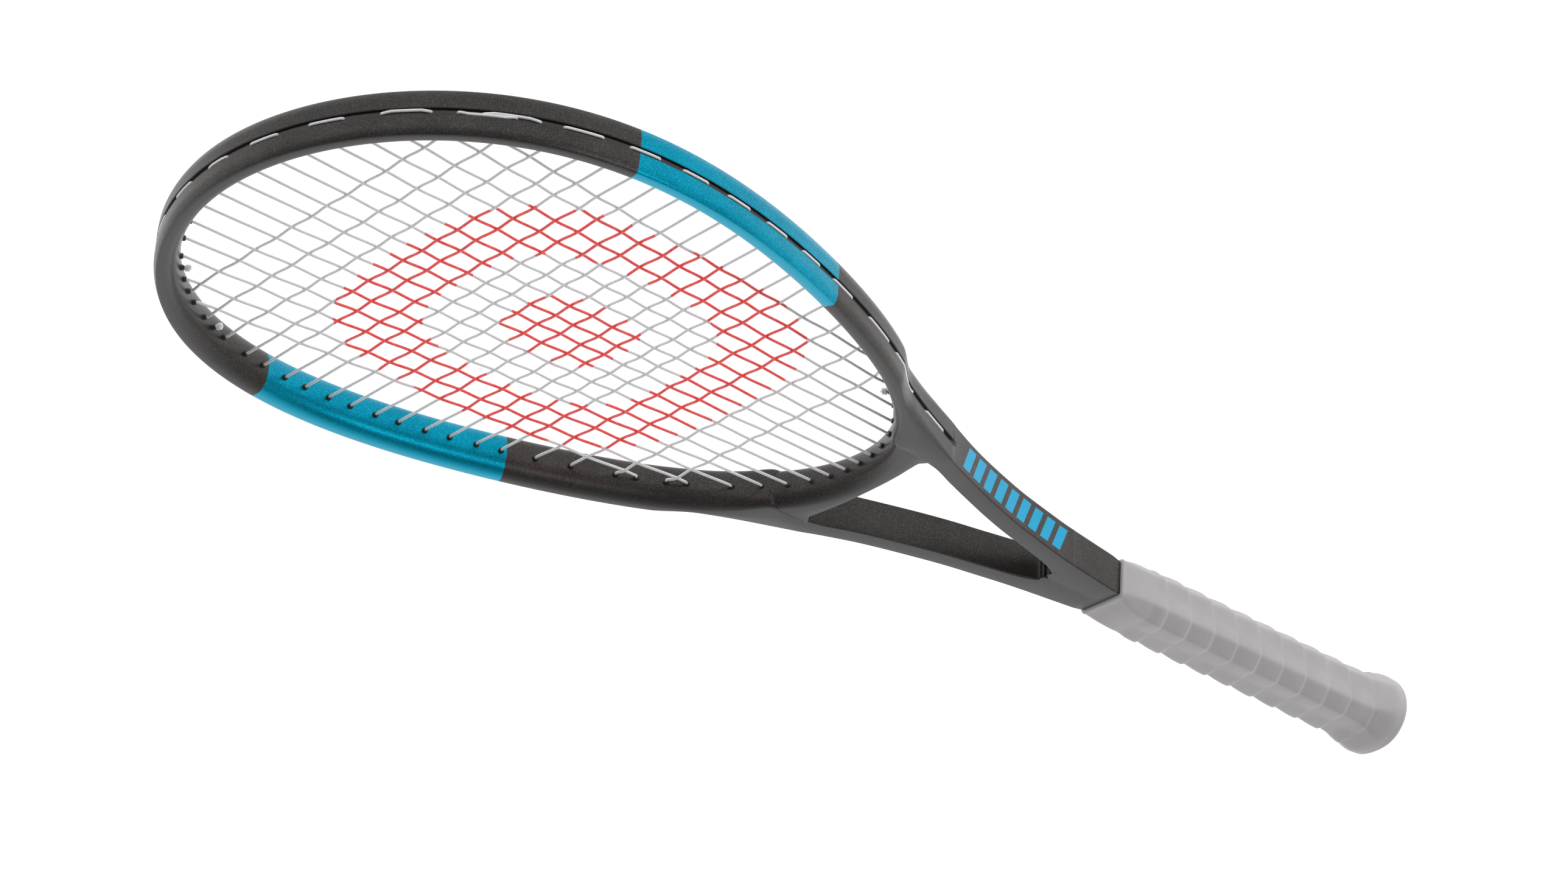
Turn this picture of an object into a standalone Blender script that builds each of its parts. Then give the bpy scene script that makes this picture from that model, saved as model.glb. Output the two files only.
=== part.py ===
"""Tennis racket: one moulded hairpin frame with its throat bridge, six grommet strips, a main string
and a cross string with their knots, a two-part handle pallet, a butt cap with a pull-off trap door,
and a wrapped grip.

The racket lies flat: X runs from the butt (-X) to the tip (+X), Y across the head, Z square to the strings,
and the origin is the middle of the racket in the plane of the strings. Units are metres.
Stations "s" are distances from the inner face of the hoop's tip toward the butt.
"""

import math

import bmesh
import bpy
from mathutils import Vector

# Points nearer to the middle plane than this are on it
MIDDLE = 0.00001

# Overall size
LENGTH = 0.6858
TIP_X = LENGTH / 2
BUTT_X = -LENGTH / 2

# Hoop: an egg, widest a little past the middle of the head
WALL = 0.0105
INNER_TIP_X = TIP_X - WALL
HOOP_HALF_LENGTH = 0.168
HOOP_HALF_WIDTH = 0.1226
EGG = (0.1875, 0.027, -0.027)
HOOP_END = math.radians(134)
HOOP_STEPS = 26

# Half depth of the beam, by station
BEAM = ((0.0, 0.0105), (0.29, 0.0105), (0.345, 0.0097), (0.37, 0.0091), (0.45, 0.0092), (0.484, 0.0091),
        (0.496, 0.0080), (0.70, 0.0080))

# Shoulder, throat arm and shaft: inner and outer edges as (s, y), y = 0 is the racket's middle
ARM = (
    ((0.2960, 0.0668), (0.3030, 0.0728)),
    ((0.3060, 0.0588), (0.3140, 0.0665)),
    ((0.3150, 0.0502), (0.3250, 0.0610)),
    ((0.3230, 0.0403), (0.3370, 0.0555)),
    ((0.3300, 0.0403), (0.3440, 0.0523)),
    ((0.3370, 0.0403), (0.3500, 0.0496)),
    ((0.3505, 0.0381), (0.3565, 0.0466)),
    ((0.3652, 0.0322), (0.3700, 0.0411)),
    ((0.3799, 0.0269), (0.3840, 0.0359)),
    ((0.3965, 0.0213), (0.4000, 0.0307)),
    ((0.4120, 0.0168), (0.4150, 0.0263)),
    ((0.4275, 0.0131), (0.4300, 0.0228)),
    ((0.4457, 0.0085), (0.4480, 0.0189)),
    ((0.4535, 0.0045), (0.4545, 0.0178)),
    ((0.4570, 0.0000), (0.4590, 0.0170)),
    ((0.4840, 0.0000), (0.4840, 0.0132)),
    ((0.4960, 0.0000), (0.4960, 0.0110)),
    ((0.6680, 0.0000), (0.6680, 0.0110)),
)
SQUARE_FROM, SQUARE_TO = 0.300, 0.350
SHAFT_FROM = 0.456

# Half sections as fractions of width and half depth, from the inner side round to the outer side
ROUND_SECTION = ((0.05, 0.40), (0.17, 0.72), (0.38, 0.95), (0.55, 1.00), (0.84, 1.00), (0.97, 0.84),
                 (1.00, 0.60))
BOX_SECTION = ((0.00, 0.40), (0.01, 0.80), (0.07, 0.96), (0.25, 1.00), (0.88, 1.00), (0.99, 0.88),
               (1.00, 0.60))
SHAFT_SECTION = ((0.00, 0.40), (0.00, 0.80), (0.00, 1.00), (0.25, 1.00), (0.90, 1.00), (0.99, 0.88),
                 (1.00, 0.60))
BRIDGE_SECTION = ((0.05, 0.38), (0.17, 0.70), (0.36, 0.94), (0.50, 1.00), (0.66, 0.98), (0.88, 0.84),
                  (1.00, 0.55))

# String channel along the outside of the hoop
CHANNEL_DEPTH = 0.0030
CHANNEL_HALF = 0.0028
CHANNEL_FADE = (0.346, 0.352)

# Throat bridge: outer edge as (y, s)
BRIDGE_HALF = 0.0400
BRIDGE_OUTER = ((0.0, 0.3465), (0.012, 0.3462), (0.022, 0.3452), (0.031, 0.3430), (0.036, 0.3406),
                (0.040, 0.3375))
BRIDGE_STEPS = 10
BRIDGE_BEAM = ((0.0, 0.0095), (0.028, 0.0097), (0.040, 0.0099))

# Stringing: mains fan out toward the head, crosses are parallel
STRING = 0.0013
MAINS = (0.0053, 0.0165, 0.0278, 0.0399, 0.0515, 0.0630, 0.0767, 0.0889)
MAINS_AT = 0.170
FAN = 0.98
CROSS_FIRST = 0.0416
CROSS_GAPS = (0.0175, 0.0159, 0.0147, 0.0111, 0.0130, 0.0112, 0.0126, 0.0112, 0.0124, 0.0111, 0.0126, 0.0114,
              0.0121, 0.0111, 0.0150, 0.0152, 0.0186, 0.0205)
WEAVE = 0.00175
LANE = 0.0017
KNOT = 0.0034
STRING_SIDES_LEVEL = 1

# Side of the head where the cross string is tied off and starts
CROSS_START = 1

# Crosses whose turn in the channel passes other strings
CROWDED = (0, 1, 17)

# Grommets
CLEAR = 0.0003
STRIP = 0.0008
STRIP_HALF = 0.0024
BARREL = 0.0016
BORE = 0.00115
BARREL_PROUD = 0.0010
RIDE = CLEAR + STRIP + CLEAR + STRING / 2
SIDES = 6

# Handle: octagons as (width, depth, bevel)
GRIP_TOP_X = -0.1575
COLLAR_LENGTH = 0.0205
PALLET_TOP_X = -0.1785
PALLET_STEP_X = -0.3120
PALLET_END_X = -0.3360
PALLET = (0.0272, 0.0232, 0.0050)
PALLET_NECK = (0.0246, 0.0200, 0.0045)
SHAFT = (0.0220, 0.0160)
GRIP = (0.0310, 0.0270, 0.0058)
FLARE = (0.0428, 0.0378, 0.0088)
FLARE_X = -0.3250
FLARE_STEPS = 4
GRIP_END_X = BUTT_X + 0.0022
SKIN = 0.0013
DOOR = (0.0190, 0.0140)
DOOR_FLANGE = 0.0022
DOOR_THICK = 0.0020
DOOR_TAIL = 0.0060
STAPLE_SPAN = 0.0060
STAPLE_WIRE = 0.0011
STAPLE_LEG = 0.0014
STAPLE_X = -0.3200
SLOT_HEAD = 0.0040


def mix(a, b, k):
    """Value or vector between a and b."""
    return a + (b - a) * k


def along(table, key):
    """Straight-line reading of a table of (key, value) pairs."""
    for (key0, value0), (key1, value1) in zip(table, table[1:]):
        if key <= key1:
            return mix(value0, value1, (key - key0) / (key1 - key0))
    return table[-1][1]


def at(s, y, z=0.0):
    """Point at station s."""
    return Vector((INNER_TIP_X - s, y, z))


def station(point):
    """Station of a point."""
    return INNER_TIP_X - point.x


def egg(t):
    """Inner face of the hoop at angle t, 0 at the tip and pi at the bridge."""
    swell = 1 + EGG[0] * math.cos(t) + EGG[1] * math.cos(2 * t) + EGG[2] * math.cos(3 * t)
    return at(HOOP_HALF_LENGTH * (1 - math.cos(t)), HOOP_HALF_WIDTH * math.sin(t) * swell)


def egg_normal(t):
    """Direction from the inner face of the hoop to its outer face."""
    step = egg(t + 0.001) - egg(t - 0.001)
    return Vector((step.y, -step.x, 0)).normalized()


def egg_angle(s):
    """Angle at which the hoop's inner face passes station s."""
    return math.acos(1 - s / HOOP_HALF_LENGTH)


def solve(function, low, high):
    """Root of a function that changes sign once between low and high."""
    rising = function(high) > 0
    for _ in range(60):
        middle = (low + high) / 2
        if (function(middle) > 0) == rising:
            high = middle
        else:
            low = middle
    return (low + high) / 2


def rim(u):
    """Inner and outer edge at u: the hoop's angle, then HOOP_END plus the arm station's number."""
    if u <= HOOP_END:
        inner = egg(u)
        return inner, inner + egg_normal(u) * WALL
    start = (egg(HOOP_END), egg(HOOP_END) + egg_normal(HOOP_END) * WALL)
    pairs = [start] + [(at(*inner), at(*outer)) for inner, outer in ARM]
    number = min(int(u - HOOP_END), len(pairs) - 2)
    k = u - HOOP_END - number
    return mix(pairs[number][0], pairs[number + 1][0], k), mix(pairs[number][1], pairs[number + 1][1], k)


def channel(u, height, z=0.0, side=1):
    """Point in the string channel, at a height over its floor."""
    inner, outer = rim(u)
    point = outer + (inner - outer).normalized() * (CHANNEL_DEPTH - height)
    return Vector((point.x, point.y * side, z))


def rib_angles():
    """Values of u at which the frame's sections stand on one side."""
    hoop = [HOOP_END * number / HOOP_STEPS for number in range(HOOP_STEPS + 1)]
    return hoop + [HOOP_END + number + 1 for number in range(len(ARM))]


def section(inner, outer, half_depth, shape, floor):
    """Closed ring of points round one section of the frame, from an inner edge to an outer one."""
    width = (outer - inner).length
    out = (outer - inner) / width
    half = [(width * w, half_depth * z) for w, z in shape]
    half += [(width, CHANNEL_HALF), (width - floor, CHANNEL_HALF - CLEAR)]
    ring = [inner]
    ring += [inner + out * w + Vector((0, 0, z)) for w, z in half]
    ring += [inner + out * w - Vector((0, 0, z)) for w, z in reversed(half)]
    return ring


def new_object(name, mesh, material=None, collection=None):
    """Object in the racket's collection, or in another one."""
    piece = bpy.data.objects.new(name, mesh)
    (collection or RACKET).objects.link(piece)
    if material:
        mesh.materials.append(material)
    return piece


def hide(cutter):
    """Keep a cutter out of renders and show it as wire."""
    cutter.hide_render = True
    cutter.display_type = "WIRE"
    return cutter


def new_material(name, colour, roughness, metallic=0.0):
    """Principled material of one plain colour."""
    material = bpy.data.materials.new(name)
    material.use_nodes = True
    shader = material.node_tree.nodes["Principled BSDF"]
    shader.inputs["Base Color"].default_value = (*colour, 1)
    shader.inputs["Roughness"].default_value = roughness
    shader.inputs["Metallic"].default_value = metallic
    return material


def loft(name, rings, material, ends="both", collection=None):
    """Skin through rings of the same number of points: capped at its ends, or joined last ring to first.

    With ends "last" it is half of a symmetric piece, open at its first ring and wherever it lies in y = 0.
    """
    mesh = bpy.data.meshes.new(name)
    form = bmesh.new()
    loops = [[form.verts.new(point) for point in ring] for ring in rings]
    count = len(loops[0])
    spans = list(zip(loops, loops[1:]))
    if ends == "joined":
        spans.append((loops[-1], loops[0]))
    for first, second in spans:
        for number in range(count):
            after = (number + 1) % count
            corners = (first[number], first[after], second[after], second[number])
            if ends != "last" or max(abs(corner.co.y) for corner in corners) > MIDDLE:
                form.faces.new(corners)
    if ends == "both":
        form.faces.new(loops[0])
    if ends != "joined":
        form.faces.new(loops[-1])
    bmesh.ops.recalc_face_normals(form, faces=form.faces)
    form.to_mesh(mesh)
    form.free()
    return new_object(name, mesh, material, collection)


def prisms(name, runs, radius, turn=0.0):
    """Cutter or barrel set: one straight prism for each pair of end points."""
    mesh = bpy.data.meshes.new(name)
    form = bmesh.new()
    for start, end in runs:
        axis = end - start
        placed = axis.to_track_quat("Z", "Y").to_matrix().to_4x4()
        placed.translation = (start + end) / 2
        made = bmesh.ops.create_cone(form, cap_ends=True, segments=SIDES, radius1=radius, radius2=radius,
                                     depth=axis.length)
        bmesh.ops.transform(form, matrix=placed, verts=made["verts"])
    form.to_mesh(mesh)
    form.free()
    return hide(new_object(name, mesh, collection=CUTTERS))


def box(name, low, high):
    """Box-shaped cutter from a low corner to a high corner."""
    mesh = bpy.data.meshes.new(name)
    form = bmesh.new()
    for vertex in bmesh.ops.create_cube(form, size=1)["verts"]:
        vertex.co = Vector([mix(a, b, c + 0.5) for a, b, c in zip(low, high, vertex.co)])
    form.to_mesh(mesh)
    form.free()
    return hide(new_object(name, mesh, collection=CUTTERS))


def cut(piece, cutter, operation="DIFFERENCE"):
    """Boolean of a piece with a cutter."""
    modifier = piece.modifiers.new(cutter.name, "BOOLEAN")
    modifier.operation = operation
    modifier.object = cutter


def octagon(x, size, grow=0.0):
    """Ring round a bevelled rectangle (width, depth, bevel), grown by a thickness."""
    width, depth, bevel = size[0] / 2 + grow, size[1] / 2 + grow, size[2] + grow * 0.586
    corners = ((width, depth - bevel), (width - bevel, depth), (bevel - width, depth),
               (-width, depth - bevel), (-width, bevel - depth), (bevel - width, -depth),
               (width - bevel, -depth), (width, bevel - depth))
    return [Vector((x, y, z)) for y, z in corners]


def main_y(number, s):
    """Y of a main string, counted from the middle, at station s."""
    return MAINS[number] * (1 - FAN * (s - MAINS_AT))


def main_mouth(number, low, high):
    """Point where a main string meets the hoop's inner face."""
    t = solve(lambda angle: egg(angle).y - main_y(number, station(egg(angle))), low, high)
    return t, egg(t)


WIDEST = math.radians(76)
CROSS_S = [CROSS_FIRST + sum(CROSS_GAPS[:number]) for number in range(len(CROSS_GAPS) + 1)]
HEAD_T = [main_mouth(number, 0.0, WIDEST)[0] for number in range(len(MAINS))]
THROAT_T = [main_mouth(number, WIDEST, math.pi)[0] for number in range(len(MAINS))]
CROSS_U = [egg_angle(s) for s in CROSS_S[:-1]] + [HOOP_END + 0.32]
THROAT_U = {7: THROAT_T[7], 6: HOOP_END + 1.0, 5: HOOP_END + 3.0, 4: HOOP_END + 4.6}
MAIN_TIE_U = math.radians(53)
CROSS_HEAD_TIE_U = math.radians(33.7)
CROSS_THROAT_TIE_U = HOOP_END + 1.6
BRIDGE_MAINS = (0, 1, 2, 3)
SHOULDER_MAINS = (4, 5, 6, 7)


def bridge_outer(y):
    """Outer face of the bridge at a Y."""
    return at(along(BRIDGE_OUTER, abs(y)), y)


def hole(mouth, top, normal):
    """Grommet hole from its inner mouth to the string's place in the channel, and its lean there."""
    return mouth, top, 1 / (top - mouth).normalized().dot(normal)


def hoop_hole(mouth, u, side=1):
    """Hole from a point on the hoop's inner face to the channel at u."""
    run = channel(u + 0.001, RIDE) - channel(u - 0.001, RIDE)
    normal = Vector((run.y, -run.x * side, 0)).normalized()
    return hole(Vector((mouth.x, mouth.y * side, 0)), channel(u, RIDE, side=side), normal)


def head_main_hole(number, side):
    """Hole of a main string at the head."""
    return hoop_hole(egg(HEAD_T[number]), HEAD_T[number], side)


def throat_main_hole(number, side):
    """Hole of a main string at the throat, through a shoulder or the bridge."""
    mouth = egg(THROAT_T[number])
    if number in SHOULDER_MAINS:
        return hoop_hole(mouth, THROAT_U[number], side)
    top = bridge_outer(mouth.y) + Vector((CHANNEL_DEPTH - RIDE, 0, 0))
    return hole(Vector((mouth.x, mouth.y * side, 0)), Vector((top.x, top.y * side, 0)), Vector((-1, 0, 0)))


def plain_hole(u, side):
    """Hole square to the hoop at u."""
    return hoop_hole(rim(u)[0], u, side)


def outward(opening):
    """Unit direction of a hole from the head to the channel."""
    return (opening[1] - opening[0]).normalized()


def drilled(holes):
    """Ends of the drill through the frame for each hole."""
    return [(place[0] - outward(place) * 0.004, place[1] + outward(place) * 0.0005) for place in holes]


def strip_holes():
    """The holes of each grommet strip."""
    sides = (1, -1)
    head = [head_main_hole(number, side) for number in range(7) for side in sides]
    head += [plain_hole(CROSS_U[0], side) for side in sides]
    head += [plain_hole(CROSS_HEAD_TIE_U, CROSS_START)]
    groups = {"head_grommet_strip": head}
    for side, word in ((1, "left"), (-1, "right")):
        rail = [head_main_hole(7, side), plain_hole(MAIN_TIE_U, side)]
        rail += [plain_hole(CROSS_U[number], side) for number in range(1, 16)]
        groups["side_grommet_strip_" + word] = rail
        shoulder = [plain_hole(CROSS_U[number], side) for number in range(16, 19)]
        shoulder += [throat_main_hole(number, side) for number in SHOULDER_MAINS]
        if side != CROSS_START:
            shoulder.append(plain_hole(CROSS_THROAT_TIE_U, side))
        groups["shoulder_grommet_strip_" + word] = shoulder
    bridge = [throat_main_hole(number, side) for number in BRIDGE_MAINS for side in sides]
    groups["bridge_grommet_strip"] = bridge
    return groups


def make_hairpin(holes):
    """Hoop, throat arms and shaft: half of the loft, mirrored across the racket's middle."""
    rings = []
    for u in rib_angles():
        inner, outer = rim(u)
        s = station((inner + outer) / 2)
        square = min(max((s - SQUARE_FROM) / (SQUARE_TO - SQUARE_FROM), 0), 1)
        pairs = zip(ROUND_SECTION, BOX_SECTION)
        shape = [(mix(a, c, square), mix(b, d, square)) for (a, b), (c, d) in pairs]
        if s > SHAFT_FROM:
            shape = SHAFT_SECTION
        fade = min(max((CHANNEL_FADE[1] - s) / (CHANNEL_FADE[1] - CHANNEL_FADE[0]), 0), 1)
        rings.append(section(inner, outer, along(BEAM, s), shape, CHANNEL_DEPTH * fade))
    piece = loft("hairpin_frame", rings, CARBON, ends="last")
    mirror = piece.modifiers.new("Mirror", "MIRROR")
    mirror.use_axis = (False, True, False)
    mirror.merge_threshold = MIDDLE
    cut(piece, prisms("frame_holes", drilled(holes), BARREL + CLEAR * 1.2))
    return piece


def make_bridge(holes):
    """Throat bridge between the two arms."""
    end = solve(lambda t: BRIDGE_HALF - egg(t).y, WIDEST, math.pi)
    rings = []
    for number in range(-BRIDGE_STEPS, BRIDGE_STEPS + 1):
        inner = egg(math.pi + (math.pi - end) * number / BRIDGE_STEPS)
        outer = bridge_outer(inner.y)
        depth = along(BRIDGE_BEAM, abs(inner.y))
        rings.append(section(inner, outer, depth, BRIDGE_SECTION, CHANNEL_DEPTH))
    piece = loft("throat_bridge", rings, CARBON)
    cut(piece, prisms("bridge_holes", drilled(holes), BARREL + CLEAR * 1.2))
    return piece


def make_strip(name, line, holes):
    """Grommet strip: a flat band on the channel's floor with a barrel through the frame for each hole."""
    rings = []
    for floor, out in line:
        low, high = floor + out * CLEAR, floor + out * (CLEAR + STRIP)
        edge = Vector((0, 0, STRIP_HALF))
        rings.append([low - edge, low + edge, high + edge, high - edge])
    piece = loft(name, rings, GROMMET)
    barrels = []
    bores = []
    for inner, top, lean in holes:
        out = (top - inner).normalized()
        tilt = math.sqrt(max(1 - lean ** -2, 0))
        height = min(CLEAR + STRIP / 2, CLEAR + STRIP - BARREL * tilt)
        barrels.append((inner - out * BARREL_PROUD, top - out * lean * (RIDE - height)))
        bores.append((inner - out * 0.003, top + out * 0.003))
    cut(piece, prisms(name + "_barrels", barrels, BARREL), "UNION")
    cut(piece, prisms(name + "_bores", bores, BORE))
    return piece


def channel_line(start, end, count, side=1):
    """Floor points and outward directions of the channel between two values of u."""
    line = []
    for number in range(count + 1):
        u = mix(start, end, number / count)
        floor = channel(abs(u), 0.0, side=side if u >= 0 else -side)
        line.append((floor, (channel(abs(u), 0.001, side=side if u >= 0 else -side) - floor).normalized()))
    return line


def make_strips(groups):
    """The six grommet strips."""
    gap = math.radians(0.12)
    split = math.radians(43)
    low_split = egg_angle(0.242)
    make_strip("head_grommet_strip", channel_line(-split, split, 22), groups["head_grommet_strip"])
    for side, word in ((1, "left"), (-1, "right")):
        name = "side_grommet_strip_" + word
        make_strip(name, channel_line(split + gap, low_split - gap, 18, side), groups[name])
        name = "shoulder_grommet_strip_" + word
        line = channel_line(low_split + gap, HOOP_END, 5, side)
        line += channel_line(HOOP_END + 0.5, HOOP_END + 5.0, 9, side)
        make_strip(name, line, groups[name])
    line = []
    for number in range(-9, 10):
        outer = bridge_outer(0.0375 * number / 9)
        line.append((outer + Vector((CHANNEL_DEPTH, 0, 0)), Vector((-1, 0, 0))))
    make_strip("bridge_grommet_strip", line, groups["bridge_grommet_strip"])


def through(opening, inward):
    """String points through one grommet, from its inner mouth to the channel or back."""
    out = outward(opening)
    points = [opening[0] - out * (BARREL_PROUD + 0.0005), opening[1] - out * 0.0006]
    return points[::-1] if inward else points


def shift(u, reach):
    """Value of u a short way further along the channel."""
    speed = (channel(u + 0.001, RIDE) - channel(u - 0.001, RIDE)).length / 0.002
    return u + reach / speed


def lane(u0, u1, z, side):
    """String points in the channel between the holes at u0 and u1, z to one side of what they pass."""
    away = math.copysign(1.0, u1 - u0)
    first, last = shift(u0, away * 0.0006), shift(u1, -away * 0.0006)
    low, high = shift(min(u0, u1), 0.004), shift(max(u0, u1), -0.004)
    inside = [HOOP_END + number for number in range(len(ARM)) if low < HOOP_END + number < high]
    if not inside:
        inside = [(u0 + u1) / 2]
    if z:
        inside = [shift(u0, away * 0.0032)] + inside + [shift(u1, -away * 0.0032)]
    places = [(first, 0.0)] + [(u, z) for u in inside] + [(last, 0.0)]
    return [channel(u, RIDE, height, side) for u, height in places]


def bridge_lane(first, second):
    """String points in the bridge's channel between two mains."""
    lift = Vector((CHANNEL_DEPTH - RIDE, 0, 0))
    near = math.copysign(0.0006, second[1].y - first[1].y)
    ends = (first[1].y + near, (first[1].y + second[1].y) / 2, second[1].y - near)
    return [bridge_outer(y) + lift for y in ends]


def main_route():
    """The main string: 16 runs from one tie-off to the other."""
    order = [(number, -1) for number in range(7, -1, -1)] + [(number, 1) for number in range(8)]
    points = through(plain_hole(MAIN_TIE_U, -1), False)
    points += lane(MAIN_TIE_U, HEAD_T[7], -LANE, -1)
    for place, (number, side) in enumerate(order):
        head = head_main_hole(number, side)
        throat = throat_main_hole(number, side)
        down = place % 2 == 0
        points += through(head if down else throat, True) + through(throat if down else head, False)
        if place == len(order) - 1:
            break
        after, after_side = order[place + 1]
        if down and number in SHOULDER_MAINS:
            points += lane(THROAT_U[number], THROAT_U[after], -LANE if number > 5 else 0.0, side)
        elif down:
            points += bridge_lane(throat, throat_main_hole(after, after_side))
        elif after_side != side:
            points += [channel(0.0, RIDE)]
        else:
            points += lane(HEAD_T[number], HEAD_T[after], -LANE if max(number, after) == 6 else 0.0, side)
    points += lane(HEAD_T[7], MAIN_TIE_U, -LANE, 1)
    return points + through(plain_hole(MAIN_TIE_U, 1), True)


def main_line(number, s):
    """Y of a main string as it runs between its two grommets."""
    ends = [through(hole, False)[0] for hole in (head_main_hole(number, 1), throat_main_hole(number, 1))]
    return mix(ends[0].y, ends[1].y, (s - station(ends[0])) / (station(ends[1]) - station(ends[0])))


def woven(number, side):
    """Points of one cross string over and under the mains, from the side where it starts."""
    s = CROSS_S[number]
    margin = 0.003
    points = []
    for main in range(len(MAINS)):
        if station(egg(HEAD_T[main])) < s - margin and station(egg(THROAT_T[main])) > s + margin:
            for half in (1, -1):
                over = 1 if (main + number + (half > 0)) % 2 else -1
                points.append(at(s, half * main_line(main, s), over * WEAVE))
    return sorted(points, key=lambda point: -side * point.y)


def cross_route():
    """The cross string: 19 runs from the head to the throat."""
    side = CROSS_START
    points = through(plain_hole(CROSS_HEAD_TIE_U, side), False)
    points += lane(CROSS_HEAD_TIE_U, CROSS_U[0], LANE, side)
    for number, u in enumerate(CROSS_U):
        points += through(plain_hole(u, side), True) + woven(number, side)
        side = -side
        points += through(plain_hole(u, side), False)
        if number < len(CROSS_U) - 1:
            crowded = number in CROWDED
            points += lane(u, CROSS_U[number + 1], LANE if crowded else 0.0, side)
    points += lane(CROSS_U[-1], CROSS_THROAT_TIE_U, LANE, side)
    return points + through(plain_hole(CROSS_THROAT_TIE_U, side), True)


def make_string(name, points):
    """String along a route, as a round cord."""
    curve = bpy.data.curves.new(name, "CURVE")
    curve.dimensions = "3D"
    curve.bevel_depth = STRING / 2
    curve.bevel_resolution = STRING_SIDES_LEVEL
    curve.use_fill_caps = True
    spline = curve.splines.new("POLY")
    spline.points.add(len(points) - 1)
    for point, place in zip(spline.points, points):
        point.co = (*place, 1)
    piece = bpy.data.objects.new(name, curve)
    RACKET.objects.link(piece)
    curve.materials.append(POLYESTER)
    return piece


def make_knot(name, u, side):
    """Tie-off knot on the inner side of a grommet."""
    opening = plain_hole(u, side)
    centre = opening[0] - outward(opening) * (BARREL_PROUD + 0.0005 + CLEAR + KNOT / 2)
    mesh = bpy.data.meshes.new(name)
    form = bmesh.new()
    bmesh.ops.create_uvsphere(form, u_segments=10, v_segments=6, radius=KNOT / 2)
    form.to_mesh(mesh)
    form.free()
    mesh.shade_smooth()
    piece = new_object(name, mesh, POLYESTER)
    piece.location = centre
    return piece


def shell(name, outer_rings, inner_rings, material):
    """Closed sleeve between an outer skin and an inner skin."""
    return loft(name, outer_rings + inner_rings[::-1], material, ends="joined")


def flare_size(x):
    """Outer size of the grip at a place along the handle."""
    k = min(max((FLARE_X - x) / (FLARE_X - GRIP_END_X), 0), 1)
    k = k * k * (3 - 2 * k)
    return [mix(a, b, k) for a, b in zip(GRIP, FLARE)]


def make_pallet(name, half):
    """Half of the pallet: an octagonal half shell round the shaft, necked under the butt cap."""
    rings = []
    for x, size in ((PALLET_TOP_X, PALLET), (PALLET_STEP_X + CLEAR, PALLET),
                    (PALLET_STEP_X, PALLET_NECK), (PALLET_END_X, PALLET_NECK)):
        width, depth, bevel = size[0] / 2, size[1] / 2, size[2]
        outline = ((width, CLEAR / 2), (width, depth - bevel), (width - bevel, depth),
                   (bevel - width, depth), (-width, depth - bevel), (-width, CLEAR / 2))
        rings.append([Vector((x, y, z * half)) for y, z in outline])
    piece = loft(name, rings, FOAM)
    hollow_y, hollow_z = SHAFT[0] / 2 + CLEAR, SHAFT[1] / 2 + CLEAR
    low = Vector((PALLET_END_X - STRIP, -hollow_y, -hollow_z))
    cut(piece, box(name + "_hollow", low, Vector((PALLET_TOP_X + STRIP, hollow_y, hollow_z))))
    return piece


def staple_form(name, half, grow=0.0, collection=None):
    """Staple in the butt cap's sleeve over a pallet half, or, when grown, the cutter for its slot."""
    wire, reach = STAPLE_WIRE / 2 + grow, STAPLE_SPAN / 2
    crown = PALLET[1] / 2
    top = crown + (SLOT_HEAD if grow else 0.0)
    foot, under = crown - STAPLE_LEG - grow, crown - STAPLE_WIRE - grow
    outline = ((-reach - wire, foot), (-reach - wire, top), (reach + wire, top), (reach + wire, foot),
               (reach - wire, foot), (reach - wire, under), (wire - reach, under), (wire - reach, foot))
    rings = [[Vector((x, y, z * half)) for y, z in outline] for x in (STAPLE_X - wire, STAPLE_X + wire)]
    piece = loft(name, rings, None if grow else STEEL, collection=collection)
    return hide(piece) if grow else piece


def cap_rings(grow):
    """Outer rings of the butt cap, just under the grip."""
    rings = [octagon(PALLET_STEP_X - CLEAR, PALLET, grow)]
    for number in range(FLARE_STEPS + 1):
        x = mix(FLARE_X, GRIP_END_X, number / FLARE_STEPS)
        rings.append(octagon(x, flare_size(x), grow - SKIN - CLEAR - 0.0003))
    return rings


def make_butt_cap():
    """Butt cap: a flared cup over the pallet's neck with a door opening in its end."""
    rings = cap_rings(0.0)
    rings.append(octagon(GRIP_END_X - 0.0004, FLARE, 0.0))
    rings.append(octagon(BUTT_X + 0.0006, FLARE, 0.0))
    rings.append(octagon(BUTT_X, FLARE, -0.0008))
    piece = loft("butt_cap", rings, PLASTIC)
    cavity = [octagon(x, PALLET_NECK, CLEAR) for x in (PALLET_STEP_X + 0.004, PALLET_END_X - CLEAR)]
    cut(piece, hide(loft("cap_cavity", cavity, None, collection=CUTTERS)))
    for name, grow, low, high in (("door_seat", DOOR_FLANGE, BUTT_X - 0.002, BUTT_X + DOOR_THICK),
                                  ("door_opening", 0.0, BUTT_X, PALLET_END_X + 0.001)):
        reach_y, reach_z = DOOR[0] / 2 + grow + CLEAR, DOOR[1] / 2 + grow + CLEAR
        cut(piece, box(name, Vector((low, -reach_y, -reach_z)), Vector((high + CLEAR, reach_y, reach_z))))
    cut(piece, staple_form("cap_slot_upper", 1, CLEAR, CUTTERS))
    cut(piece, staple_form("cap_slot_lower", -1, CLEAR, CUTTERS))
    return piece


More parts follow.
